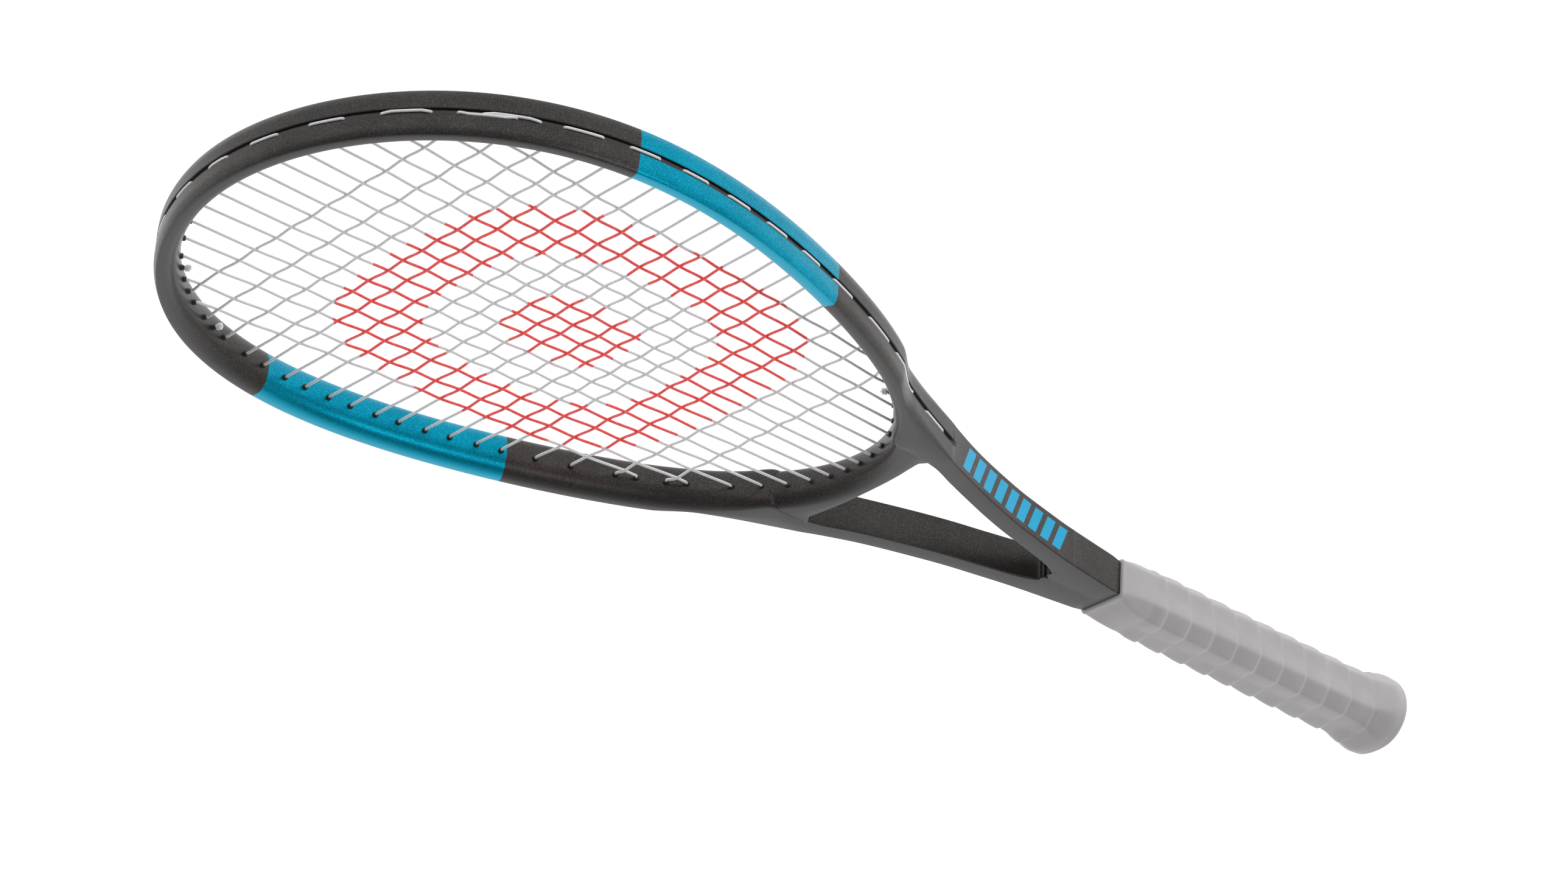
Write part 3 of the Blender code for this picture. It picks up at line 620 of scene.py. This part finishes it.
def throat_main_hole(number, side):
    """Hole of a main string at the throat, through a shoulder or the bridge."""
    mouth = egg(THROAT_T[number])
    if number in SHOULDER_MAINS:
        return hoop_hole(mouth, THROAT_U[number], side)
    top = bridge_edges(mouth.y)[1] + Vector((SINK, 0, 0))
    return Vector((mouth.x, mouth.y * side, 0)), Vector((top.x, top.y * side, 0))


def plain_hole(u, side):
    """Hole square to the hoop at u."""
    return hoop_hole(rim(u)[0], u, side)


def outward(hole):
    """Unit direction of a hole from the head to the groove."""
    return (hole[1] - hole[0]).normalized()


def spoke(out, angle):
    """Unit direction square to a hole's level direction, turned about it by an angle."""
    return out.cross(UP).normalized() * math.cos(angle) + UP * math.sin(angle)


def strip_plan():
    """Each grommet strip's holes, its stretch of the groove and its side."""
    sides = (1, -1)
    shoulder_split = egg_angle(SHOULDER_SPLIT)
    head = [head_main_hole(number, side) for number in range(LAST_MAIN) for side in sides]
    head += [plain_hole(CROSS_U[0], side) for side in sides]
    head.append(plain_hole(CROSS_HEAD_TIE_U, CROSS_START))
    plan = {"head_grommet_strip": (head, -HEAD_SPLIT, HEAD_SPLIT, 1)}
    for side, word in ((1, "left"), (-1, "right")):
        rail = [head_main_hole(LAST_MAIN, side), plain_hole(MAIN_TIE_U, side)]
        rail += [plain_hole(CROSS_U[number], side) for number in SIDE_CROSSES]
        plan["side_grommet_strip_" + word] = (rail, HEAD_SPLIT, shoulder_split, side)
        shoulder = [plain_hole(CROSS_U[number], side) for number in SHOULDER_CROSSES]
        shoulder += [throat_main_hole(number, side) for number in SHOULDER_MAINS]
        if side != CROSS_START:
            shoulder.append(plain_hole(CROSS_THROAT_TIE_U, side))
        plan["shoulder_grommet_strip_" + word] = (shoulder, shoulder_split, HOOP_END + SHOULDER_ROWS, side)
    bridge = [throat_main_hole(number, side) for number in BRIDGE_MAINS for side in sides]
    plan["bridge_grommet_strip"] = (bridge, None, None, 1)
    return plan


def add_barrel(form, hole):
    """Grommet barrel: a tube with a rounded lip that stands proud of the inner face."""
    out = outward(hole)
    spokes = [spoke(out, 2 * math.pi * number / BARREL_SIDES) for number in range(BARREL_SIDES)]
    skin(form, [[hole[0] + out * reach + way * radius for way in spokes] for reach, radius in BARREL_PROFILE])


def band_line(start, end, side):
    """Floor points and outward directions of the groove between two values of u."""
    count = max(BAND_LEAST, int(abs(end - start) * BAND_PER_UNIT))
    line = []
    for number in range(count + 1):
        u = mix(start, end, number / count)
        way = side if u >= 0 else -side
        floor = channel(abs(u), GROOVE_DEPTH, side=way)
        line.append((floor, (channel(abs(u), 0.0, side=way) - floor).normalized()))
    return line


def bridge_line():
    """Floor points and outward directions of the bridge's groove."""
    line = []
    for number in range(-BRIDGE_BAND_STEPS, BRIDGE_BAND_STEPS + 1):
        outer = bridge_edges(BRIDGE_BAND_HALF * number / BRIDGE_BAND_STEPS)[1]
        line.append((outer + Vector((GROOVE_DEPTH, 0, 0)), Vector((-1, 0, 0))))
    return line


def make_strip(name, plan, nylon):
    """Grommet strip: a slim rounded band on the groove's floor, and its barrels."""
    holes, start, end, side = plan
    line = bridge_line() if start is None else band_line(start, end, side)
    half, shoulder = GROOVE_HALF - BAND_SUNK, BAND * BAND_SHOULDER
    outline = ((-half, -BAND_SUNK), (half, -BAND_SUNK), (half, shoulder), (half * BAND_TOP, BAND),
               (-half * BAND_TOP, BAND), (-half, shoulder))
    form = bmesh.new()
    skin(form, [[floor + out * rise + Vector((0, 0, z)) for z, rise in outline] for floor, out in line])
    for hole in holes:
        add_barrel(form, hole)
    return new_object(name.replace("strip", "trim"), form, nylon)


def through(hole, inward):
    """String points through one grommet, from its inner mouth to the groove or back."""
    out = outward(hole)
    points = [hole[0] - out * (BARREL_PROUD + MOUTH_LEAD), hole[1] - out * GROOVE_LEAD]
    return points[::-1] if inward else points


def shift(u, reach):
    """Value of u a short way further along the groove."""
    speed = (channel(u + PROBE, SINK) - channel(u - PROBE, SINK)).length / (2 * PROBE)
    return u + reach / speed


def lane(u0, u1, z, side):
    """String points in the groove between two holes, at height z to clear what they pass."""
    away = math.copysign(1.0, u1 - u0)
    first, last = shift(u0, away * TURN_IN), shift(u1, -away * TURN_IN)
    inner = [mix(first, last, number / LANE_POINTS) for number in range(1, LANE_POINTS)]
    places = [(first, 0.0)] + [(u, z) for u in inner] + [(last, 0.0)]
    return [channel(u, SINK, height, side) for u, height in places]


def bridge_lane(first, second):
    """String points in the bridge's groove between two mains."""
    near = math.copysign(TURN_IN, second[1].y - first[1].y)
    ends = (first[1].y + near, (first[1].y + second[1].y) / 2, second[1].y - near)
    return [bridge_edges(y)[1] + Vector((SINK, 0, 0)) for y in ends]


def main_line(number, s):
    """Y of a main string as it runs between its two grommets."""
    head = through(head_main_hole(number, 1), False)[0]
    throat = through(throat_main_hole(number, 1), False)[0]
    return mix(head.y, throat.y, (s - station(head)) / (station(throat) - station(head)))


def crosses_main(cross, main):
    """True where a cross string passes a main string."""
    s = CROSS_S[cross]
    return station(egg(HEAD_T[main])) < s - CROSS_CLEAR and station(egg(THROAT_T[main])) > s + CROSS_CLEAR


def over(main, cross, side):
    """1 where the cross string passes over the main string, -1 where it passes under."""
    return 1 if (main + cross + (side > 0)) % 2 else -1


def waved(knees):
    """Points of a string that swings smoothly between the heights of its knees."""
    points = []
    for first, second in zip(knees, knees[1:]):
        for number in range(WAVE_STEPS):
            k = number / WAVE_STEPS
            point = first.lerp(second, k)
            point.z = mix(first.z, second.z, (1 - math.cos(math.pi * k)) / 2)
            points.append(point)
    return points + [knees[-1]]


def woven_main(number, side, head, throat):
    """Points of a main string under and over the crosses, from head to throat."""
    knees = [through(head, False)[0]]
    for cross in range(len(CROSS_S)):
        if crosses_main(cross, number):
            s = CROSS_S[cross]
            knees.append(at(s, side * main_line(number, s), -over(number, cross, side) * MAIN_SWAY))
    knees.append(through(throat, False)[0])
    return waved(knees)


def woven_cross(number, side, first, last):
    """Points of a cross string over and under the mains, from the side where it starts."""
    s = CROSS_S[number]
    knees = []
    for main in range(len(MAINS)):
        if crosses_main(number, main):
            for half in (1, -1):
                knees.append(at(s, half * main_line(main, s), over(main, number, half) * WEAVE))
    knees.sort(key=lambda point: -side * point.y)
    return waved([through(first, False)[0]] + knees + [through(last, False)[0]])


def main_route():
    """The main string: 16 runs from one tie-off to the other."""
    order = [(number, -1) for number in reversed(range(len(MAINS)))]
    order += [(number, 1) for number in range(len(MAINS))]
    points = through(plain_hole(MAIN_TIE_U, -1), False)
    points += lane(MAIN_TIE_U, HEAD_T[LAST_MAIN], -LANE, -1)
    for place, (number, side) in enumerate(order):
        head, throat = head_main_hole(number, side), throat_main_hole(number, side)
        down = place % 2 == 0
        run = woven_main(number, side, head, throat)
        points += [through(head if down else throat, True)[0]] + (run if down else run[::-1])
        points.append(through(throat if down else head, False)[1])
        if place == len(order) - 1:
            break
        after, after_side = order[place + 1]
        if down and number in SHOULDER_MAINS:
            height = -LANE if number in LOW_THROAT_MAINS else 0.0
            points += lane(THROAT_U[number], THROAT_U[after], height, side)
        elif down:
            points += bridge_lane(throat, throat_main_hole(after, after_side))
        elif after_side != side:
            points += [channel(TIP_STEP, SINK, side=side), channel(0.0, SINK)]
            points.append(channel(TIP_STEP, SINK, side=-side))
        else:
            height = -LANE if max(number, after) == LOW_HEAD_MAIN else 0.0
            points += lane(HEAD_T[number], HEAD_T[after], height, side)
    points += lane(HEAD_T[LAST_MAIN], MAIN_TIE_U, -LANE, 1)
    return points + through(plain_hole(MAIN_TIE_U, 1), True)


def cross_route():
    """The cross string: 19 runs from the head to the throat."""
    side = CROSS_START
    points = through(plain_hole(CROSS_HEAD_TIE_U, side), False)
    points += lane(CROSS_HEAD_TIE_U, CROSS_U[0], LANE, side)
    for number, u in enumerate(CROSS_U):
        first, last = plain_hole(u, side), plain_hole(u, -side)
        points += [through(first, True)[0]] + woven_cross(number, side, first, last)
        points.append(through(last, False)[1])
        side = -side
        if number < len(CROSS_U) - 1:
            height = LANE if number in CROWDED_CROSSES else 0.0
            points += lane(u, CROSS_U[number + 1], height, side)
    points += lane(CROSS_U[-1], CROSS_THROAT_TIE_U, LANE, side)
    return points + through(plain_hole(CROSS_THROAT_TIE_U, side), True)


def bent(points):
    """The route with its sharp corners rounded."""
    made = [points[0]]
    for before, corner, after in zip(points, points[1:], points[2:]):
        back, ahead = before - corner, after - corner
        if back.length < SAME_PLACE or ahead.length < SAME_PLACE:
            continue
        if back.angle(ahead) > NEARLY_STRAIGHT:
            made.append(corner)
            continue
        start = corner + back.normalized() * min(BEND, back.length * BEND_SHARE)
        end = corner + ahead.normalized() * min(BEND, ahead.length * BEND_SHARE)
        for k in BEND_CURVE:
            made.append(start.lerp(corner, k).lerp(corner.lerp(end, k), k))
    return made + [points[-1]]


def make_string(name, points, material):
    """String along a route, as a round cord."""
    curve = bpy.data.curves.new(name, "CURVE")
    curve.dimensions = "3D"
    curve.bevel_depth = STRING / 2
    curve.bevel_resolution = STRING_SMOOTH
    curve.use_fill_caps = True
    route = bent(points)
    spline = curve.splines.new("POLY")
    spline.points.add(len(route) - 1)
    for point, place in zip(spline.points, route):
        point.co = (*place, 1)
    curve.materials.append(material)
    piece = bpy.data.objects.new(name, curve)
    bpy.context.scene.collection.objects.link(piece)
    return piece


def make_knot(name, u, side, material):
    """Tie-off knot: tight turns of string drawn up against the grommet."""
    hole = plain_hole(u, side)
    out = outward(hole)
    centre = hole[0] - out * (BARREL_PROUD + KNOT / 2)
    radius = KNOT / 2 - STRING / 2 - KNOT_SLACK
    points = [hole[0] - out * BARREL_PROUD]
    for number in range(KNOT_POINTS + 1):
        angle = 2 * math.pi * KNOT_TURNS * number / KNOT_POINTS
        rise = mix(KNOT / 2, -KNOT / 2, number / KNOT_POINTS) * KNOT_SPREAD
        points.append(centre + out * rise + spoke(out, angle) * radius)
    points.append(centre - out * KNOT * KNOT_TAIL)
    return make_string(name, points, material)


def octagon_reach(angle, size, hardness):
    """Distance from the handle's axis to a softened octagon, in the direction of an angle."""
    half_y, half_z, bevel = size[0] / 2, size[1] / 2, size[2]
    diagonal = (half_y + half_z - bevel) / math.sqrt(2)
    total = 0.0
    for number in range(8):
        offset = (half_y, diagonal, half_z, diagonal)[number % 4]
        total += max(math.cos(angle - number * math.pi / 4), 0.0) ** hardness / offset ** hardness
    return total ** (-1 / hardness)


def wrap_height(s, angle, fade):
    """Swell of the wound strip over the octagon, and how near the point is to the strip's edge."""
    turn = (math.pi - angle) / (2 * math.pi)
    place = (s - WRAP_START) / WRAP_PITCH - turn
    k = place - math.floor(place)
    rise = math.sin(math.pi / 2 * min(k / WRAP_FULL, 1.0)) * (1 - ease((k - WRAP_DROP) / (1 - WRAP_DROP)))
    gap = min(k, 1 - k) * WRAP_PITCH
    corner = WRAP_FLAT + (1 - WRAP_FLAT) * abs(math.sin(2 * angle)) ** WRAP_CREST
    return rise * WRAP_SWELL * corner * fade, math.exp(-(gap / SEAM) ** 2) * fade


def grip_size(x):
    """Outer size of the grip and how round its corners are, at a place along the handle."""
    k = ease((FLARE_START_X - x) / (FLARE_START_X - BUTT_X - FLARE_FULL))
    return [mix(a, b, k) for a, b in zip(GRIP, FLARE)], mix(SOFT_CORNER, ROUND_CORNER, k)


def handle_point(x, angle, reach):
    """Point beside the handle's axis."""
    return Vector((x, reach * math.cos(angle), reach * math.sin(angle)))


def ring_at(x, size, hardness, inset=0.0):
    """Softened octagon round the handle at x, drawn in by an inset."""
    return [handle_point(x, angle, octagon_reach(angle, size, hardness) - inset) for angle in GRIP_ANGLES]


def make_grip(material):
    """Wound grip: overlapping turns from the collar to the flare, then the smooth flared butt."""
    top = GRIP_TOP_X - COLLAR_LENGTH + GRIP_LAP
    rim_x = BUTT_X + RIM + RIM_GAP
    rings, seams = [], []
    x = top
    while x > rim_x:
        size, hardness = grip_size(x)
        fade = ease((top + WRAP_LEAD - x) / WRAP_IN) * clamp((x - WRAP_END_X) / WRAP_OUT + 1)
        ring = []
        for angle in GRIP_ANGLES:
            swell, seam = wrap_height(INNER_TIP_X - x, angle, fade)
            ring.append(handle_point(x, angle, octagon_reach(angle, size, hardness) + swell))
            seams.append(seam)
        rings.append(ring)
        x -= GRIP_STEP
    size, hardness = grip_size(rim_x)
    for number in range(1, RIM_POINTS + 1):
        angle = math.pi / 2 * number / RIM_POINTS
        rings.append(ring_at(rim_x - RIM * math.sin(angle), size, hardness, RIM * (1 - math.cos(angle))))
    for reach, inset in RIM_LINING:
        rings.append(ring_at(BUTT_X + reach, size, hardness, RIM + inset))
    form = bmesh.new()
    layer = form.verts.layers.float.new(SEAM_LAYER)
    skin(form, rings)
    for vertex, seam in zip(form.verts, seams):
        vertex[layer] = seam
    return new_object("grip_cover", form, material)


def make_collar(material):
    """Smooth collar from the shaft to the grip, with a thin lip round the shaft and no seams."""
    rings = []
    for (reach0, size0, hard0), (reach1, size1, hard1) in zip(COLLAR, COLLAR[1:]):
        for number in range(COLLAR_STEPS):
            k = number / COLLAR_STEPS
            size = [mix(a, b, k) for a, b in zip(size0, size1)]
            rings.append(ring_at(GRIP_TOP_X - mix(reach0, reach1, k), size, mix(hard0, hard1, k)))
    reach, size, hardness = COLLAR[-1]
    rings.append(ring_at(GRIP_TOP_X - reach, size, hardness))
    form = bmesh.new()
    form.verts.layers.float.new(SEAM_LAYER)
    skin(form, rings)
    return new_object("grip_collar_cover", form, material)


def make_cap_plate(material):
    """End of the butt cap inside the grip's rim: a dished plate round the trap door."""
    size, hardness = grip_size(BUTT_X + RIM)
    low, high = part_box("butt_trap_door")
    door_y, door_z = (high[1] - low[1]) / 2 + DOOR_GAP, (high[2] - low[2]) / 2 + DOOR_GAP
    rings = [ring_at(BUTT_X + reach, size, hardness, RIM + inset) for reach, inset in PLATE_EDGE]
    for depth in (0.0, PLATE_DEPTH):
        ring = []
        for angle in GRIP_ANGLES:
            part_y, part_z = abs(math.cos(angle)) / door_y, abs(math.sin(angle)) / door_z
            reach = (part_y ** DOOR_SQUARE + part_z ** DOOR_SQUARE) ** (-1 / DOOR_SQUARE)
            ring.append(handle_point(BUTT_X + depth, angle, reach))
        rings.append(ring)
    form = bmesh.new()
    skin(form, rings, caps=False)
    return new_object("butt_cap_plate", form, material)


class Graph:
    """Small helper that adds nodes to a Principled material and links them."""

    def __init__(self, name):
        self.material = bpy.data.materials.new(name)
        self.material.use_nodes = True
        self.nodes = self.material.node_tree.nodes
        self.shader = self.nodes["Principled BSDF"]

    def add(self, kind, settings=None, **inputs):
        """New node with its settings and inputs; an input that is a socket is linked."""
        node = self.nodes.new(kind)
        for key, value in (settings or {}).items():
            setattr(node, key, value)
        for key, value in inputs.items():
            slot = int(key[1:]) if key[0] == "i" and key[1:].isdigit() else key.replace("_", " ")
            self.feed(node.inputs[slot], value)
        return node

    def feed(self, socket, value):
        """Link or set one input."""
        if isinstance(value, bpy.types.NodeSocket):
            self.material.node_tree.links.new(value, socket)
        else:
            socket.default_value = value

    def math(self, operation, a, b=0.0, third=0.0):
        """Math node's result."""
        return self.add("ShaderNodeMath", {"operation": operation}, i0=a, i1=b, i2=third).outputs[0]

    def blend(self, factor, a, b):
        """Colour between a and b."""
        node = self.add("ShaderNodeMix", {"data_type": "RGBA"})
        self.feed(node.inputs[0], factor)
        self.feed(node.inputs[6], a)
        self.feed(node.inputs[7], b)
        return node.outputs[2]

    def object_coordinates(self):
        """The point's place in the racket's frame."""
        return self.add("ShaderNodeTexCoord").outputs["Object"]

    def noise(self, scale, detail=2.0):
        """Noise in object space."""
        node = self.add("ShaderNodeTexNoise", Vector=self.object_coordinates(), Scale=scale, Detail=detail)
        return node.outputs["Fac"]

    def paint(self, colour):
        """Base colour, fed to the shader."""
        self.feed(self.shader.inputs["Base Color"], colour)

    def rough(self, scale, spread, least):
        """Roughness with a fine variation over its least value, fed to the shader."""
        value = self.math("MULTIPLY_ADD", self.noise(scale), spread, least)
        self.feed(self.shader.inputs["Roughness"], value)

    def bump(self, height, strength, distance):
        """Bump from a height, fed to the shader."""
        node = self.add("ShaderNodeBump", Strength=strength, Distance=distance, Height=height)
        self.feed(self.shader.inputs["Normal"], node.outputs["Normal"])


def flaked(graph, dark, light):
    """Colour with fine metallic flake and a soft larger mottle, and the flake's own value."""
    grain = graph.add("ShaderNodeTexVoronoi", Vector=graph.object_coordinates(), Scale=FLAKE_SCALE)
    value = graph.add("ShaderNodeSeparateColor", Color=grain.outputs["Color"]).outputs[0]
    glint = graph.math("POWER", value, GLINT_POWER)
    mottle = graph.math("MULTIPLY", graph.noise(MOTTLE_SCALE), MOTTLE_SHARE)
    return graph.blend(graph.math("ADD", glint, mottle), dark, light), value


def lacquer(name, dark, light, face, metallic, roughness):
    """Lacquer with metallic flake, and a plain satin finish where the surface lies level, painted in a
    lighter colour there as painted light.
    """
    graph = Graph(name)
    colour, grain = flaked(graph, dark, light)
    normal = graph.add("ShaderNodeTexCoord").outputs["Normal"]
    level = graph.math("ABSOLUTE", graph.add("ShaderNodeSeparateXYZ", Vector=normal).outputs[2])
    # Level faces turn satin (no metal) and take the lighter level-face colour: the satin is a finish, the
    # lighter colour is painted light
    satin_and_painted_light = graph.add("ShaderNodeMapRange", {"interpolation_type": "SMOOTHSTEP"}, Value=level,
                      From_Min=LEVEL_FROM, From_Max=LEVEL_TO).outputs["Result"]
    graph.paint(graph.blend(satin_and_painted_light, colour, face))
    graph.feed(graph.shader.inputs["Metallic"], graph.math("MULTIPLY_ADD", satin_and_painted_light, -metallic, metallic))
    graph.shader.inputs["Specular IOR Level"].default_value = LACQUER_SPECULAR
    graph.rough(scale=900.0, spread=ROUGH_SPREAD, least=roughness - ROUGH_SPREAD / 2)
    graph.bump(grain, strength=0.10, distance=0.00008)
    return graph


def carbon_material():
    """Charcoal lacquer of the frame."""
    return lacquer("carbon_lacquer", *CARBON_LOOK).material


def blue_material():
    """Teal metallic lacquer of the two side bands."""
    return lacquer("blue_lacquer", *BLUE_LOOK).material


def printed_material():
    """Charcoal lacquer with a row of slanted blue bars on the arms' sides."""
    graph = lacquer("printed_lacquer", *CARBON_LOOK)
    base = graph.shader.inputs["Base Color"].links[0].from_socket
    place = graph.add("ShaderNodeSeparateXYZ", Vector=graph.add("ShaderNodeUVMap").outputs[0])
    s, z = place.outputs[0], place.outputs[1]
    slanted = graph.math("MULTIPLY_ADD", z, BAR_SLANT, s)
    phase = graph.math("FRACT", graph.math("DIVIDE", graph.math("SUBTRACT", slanted, BARS_FROM), BAR_PITCH))
    bar = graph.math("LESS_THAN", phase, BAR_SHARE)
    inside = graph.math("MULTIPLY", graph.math("GREATER_THAN", slanted, BARS_FROM),
                        graph.math("LESS_THAN", slanted, BARS_TO))
    low = graph.math("LESS_THAN", graph.math("ABSOLUTE", z), BAR_HALF_HEIGHT)
    mask = graph.math("MULTIPLY", graph.math("MULTIPLY", bar, inside), low)
    graph.paint(graph.blend(mask, base, BAR_BLUE))
    return graph.material


def nylon_material():
    """Black moulded nylon."""
    graph = Graph("grommet_black")
    colour = graph.blend(graph.noise(700.0), *NYLON_BLACKS)
    graph.paint(colour)
    graph.rough(scale=1200.0, spread=0.2, least=0.30)
    graph.bump(graph.noise(2400.0), strength=0.15, distance=0.0001)
    return graph.material


def string_material():
    """Pale string, with the red stencil painted on by place."""
    graph = Graph("string_pale")
    place = graph.add("ShaderNodeSeparateXYZ", Vector=graph.object_coordinates())
    past_centre = graph.math("SUBTRACT", place.outputs[0], INNER_TIP_X - STENCIL_S)
    x = graph.math("DIVIDE", past_centre, STENCIL_HALF[0])
    y = graph.math("DIVIDE", place.outputs[1], STENCIL_HALF[1])
    powers = [graph.math("POWER", graph.math("ABSOLUTE", part), STENCIL_SQUARE) for part in (x, y)]
    reach = graph.math("POWER", graph.math("ADD", *powers), 1 / STENCIL_SQUARE)
    beyond_gap = graph.math("GREATER_THAN", reach, STENCIL_RING)
    ring = graph.math("MULTIPLY", graph.math("LESS_THAN", reach, 1.0), beyond_gap)
    mask = graph.math("MAXIMUM", ring, graph.math("LESS_THAN", reach, STENCIL_SPOT))
    worn = graph.math("MULTIPLY_ADD", graph.noise(420.0, 3.0), *INK_WEAR)
    ink = graph.math("MULTIPLY", mask, graph.math("MINIMUM", worn, 1.0))
    pale = graph.blend(graph.noise(260.0), *STRING_GREYS)
    graph.paint(graph.blend(ink, pale, STENCIL_RED))
    graph.rough(scale=800.0, spread=0.15, least=0.30)
    graph.bump(graph.noise(1500.0), strength=0.10, distance=0.0001)
    return graph.material


def grip_material():
    """Pale grey tacky polyurethane with fine grain and lighter strip edges."""
    graph = Graph("grip_grey")
    base = graph.blend(graph.noise(70.0, 4.0), *GRIP_GREYS)
    seam = graph.add("ShaderNodeAttribute", {"attribute_name": SEAM_LAYER}).outputs["Fac"]
    colour = graph.blend(graph.math("MULTIPLY", seam, SEAM_TINT), base, GRIP_SEAM)
    graph.paint(colour)
    graph.rough(scale=500.0, spread=0.15, least=0.52)
    graph.shader.inputs["Sheen Weight"].default_value = GRIP_SHEEN
    grain = graph.math("ADD", graph.noise(2200.0), graph.math("MULTIPLY", graph.noise(350.0), 1.5))
    graph.bump(grain, strength=0.16, distance=0.00025)
    return graph.material


def plastic_material(name, colour, roughness):
    """Fine-grained moulded plastic."""
    graph = Graph(name)
    light = tuple(min(value * 1.5 + 0.004, 1) for value in colour)
    tone = graph.blend(graph.noise(300.0), (*colour, 1), (*light, 1))
    graph.paint(tone)
    graph.rough(scale=900.0, spread=0.15, least=roughness)
    graph.bump(graph.noise(1800.0), strength=0.2, distance=0.0001)
    return graph.material


def dress(node, material, bevel=0.0):
    """Give a CAD node a finished material, and softer edges where asked."""
    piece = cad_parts[node]
    piece.data.materials.clear()
    piece.data.materials.append(material)
    if bevel:
        modifier = piece.modifiers.new("edges", "BEVEL")
        modifier.width = bevel
        modifier.segments = 3
        modifier.limit_method = "ANGLE"


def make_floor():
    """Pale floor under the racket, tipped by the small angle at which the racket lies."""
    form = bmesh.new()
    bmesh.ops.create_grid(form, x_segments=8, y_segments=8, size=FLOOR_SIZE / 2)
    graph = Graph("floor_white")
    tone = graph.blend(graph.noise(1.5), *FLOOR_GREYS)
    graph.paint(tone)
    graph.shader.inputs["Roughness"].default_value = 0.9
    graph.shader.inputs["Specular IOR Level"].default_value = 0.0
    graph.shader.inputs["Emission Color"].default_value = (1, 1, 1, 1)
    graph.shader.inputs["Emission Strength"].default_value = FLOOR_GLOW
    floor = new_object("floor", form, graph.material)
    floor.rotation_euler = (0, -FLOOR_TILT, 0)
    floor.location = (0, 0, -(FLARE_LOW + HOOP_LOW) / 2)


def make_light():
    """White surroundings, brighter on the far side than behind the camera."""
    world = bpy.data.worlds.new("studio")
    bpy.context.scene.world = world
    world.use_nodes = True
    nodes, links = world.node_tree.nodes, world.node_tree.links
    place = nodes.new("ShaderNodeTexCoord")
    dot = nodes.new("ShaderNodeVectorMath")
    dot.operation = "DOT_PRODUCT"
    dot.inputs[1].default_value = CAMERA_BACK.normalized()
    links.new(place.outputs["Generated"], dot.inputs[0])
    ramp = nodes.new("ShaderNodeMapRange")
    ramp.interpolation_type = "SMOOTHSTEP"
    ramp.inputs["From Min"].default_value = SKY_RAMP[0]
    ramp.inputs["From Max"].default_value = SKY_RAMP[1]
    ramp.inputs["To Min"].default_value = SKY_FAR
    ramp.inputs["To Max"].default_value = SKY_NEAR
    links.new(dot.outputs["Value"], ramp.inputs["Value"])
    links.new(ramp.outputs["Result"], nodes["Background"].inputs["Strength"])
    nodes["Background"].inputs["Color"].default_value = (1, 1, 1, 1)


def make_softbox():
    """Long soft light low on the near side, for the sheen on the hoop's outer lobes."""
    lamp = bpy.data.lights.new("softbox", "AREA")
    lamp.shape = "RECTANGLE"
    lamp.size, lamp.size_y = SOFTBOX_SIZE
    lamp.energy = SOFTBOX_WATTS
    box = bpy.data.objects.new("softbox", lamp)
    bpy.context.scene.collection.objects.link(box)
    box.location = SOFTBOX_AT
    box.rotation_euler = (SOFTBOX_AIM - SOFTBOX_AT).to_track_quat("-Z", "Y").to_euler()


def make_camera():
    """Camera above the near side, rolled so that the handle points down to the right."""
    camera = bpy.data.objects.new("camera", bpy.data.cameras.new("camera"))
    bpy.context.scene.collection.objects.link(camera)
    camera.data.lens = LENS
    camera.data.sensor_width = 36.0
    back = CAMERA_BACK.normalized()
    right = CAMERA_UP.cross(back).normalized()
    up = back.cross(right)
    turn = Matrix((right, up, back)).transposed().to_4x4()
    camera.matrix_world = Matrix.Translation(CAMERA_AT) @ turn
    bpy.context.scene.camera = camera


CARBON = carbon_material()
BLUE = blue_material()
PRINTED = printed_material()
NYLON = nylon_material()
STRINGS = string_material()
GRIP_GREY = grip_material()
CAP_BLACK = plastic_material("butt_black", (0.018, 0.018, 0.018), 0.42)
DOOR_BLACK = plastic_material("door_black", (0.030, 0.030, 0.031), 0.36)
FOAM = plastic_material("pallet_grey", (0.120, 0.115, 0.105), 0.75)
STEEL = plastic_material("staple_grey", (0.350, 0.350, 0.350), 0.30)


def keep(piece, slot, *nodes):
    """The piece rides on the racket and stands for its CAD nodes."""
    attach(piece, "racket")
    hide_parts(*nodes)


keep(make_frame(CARBON, BLUE, PRINTED, NYLON), "carbon_frame", "hairpin_frame")
keep(make_bridge(CARBON, NYLON), "carbon_frame", "throat_bridge")
for strip_name, strip in strip_plan().items():
    keep(make_strip(strip_name, strip, NYLON), "grommet_nylon", strip_name)
keep(make_string("main_string_run", main_route(), STRINGS), "string_polyester", "main_string")
keep(make_string("cross_string_run", cross_route(), STRINGS), "string_polyester", "cross_string")
KNOTS = (
    ("main_knot_left", MAIN_TIE_U, 1),
    ("main_knot_right", MAIN_TIE_U, -1),
    ("cross_knot_head", CROSS_HEAD_TIE_U, CROSS_START),
    ("cross_knot_throat", CROSS_THROAT_TIE_U, -CROSS_START),
)
for knot_name, knot_u, knot_side in KNOTS:
    keep(make_knot(knot_name + "_turns", knot_u, knot_side, STRINGS), "string_polyester", knot_name)
keep(make_grip(GRIP_GREY), "grip_polyurethane", "grip_wrap")
keep(make_collar(GRIP_GREY), "grip_polyurethane", "grip_collar")
keep(make_cap_plate(CAP_BLACK), "butt_plastic", "butt_cap")
dress("butt_trap_door", DOOR_BLACK, bevel=0.0005)
for half_name in ("upper", "lower"):
    dress("pallet_" + half_name, FOAM, bevel=0.0004)
    dress("cap_staple_" + half_name, STEEL, bevel=0.0002)

make_floor()
make_light()
make_softbox()
make_camera()
bpy.context.scene.view_settings.view_transform = "Standard"
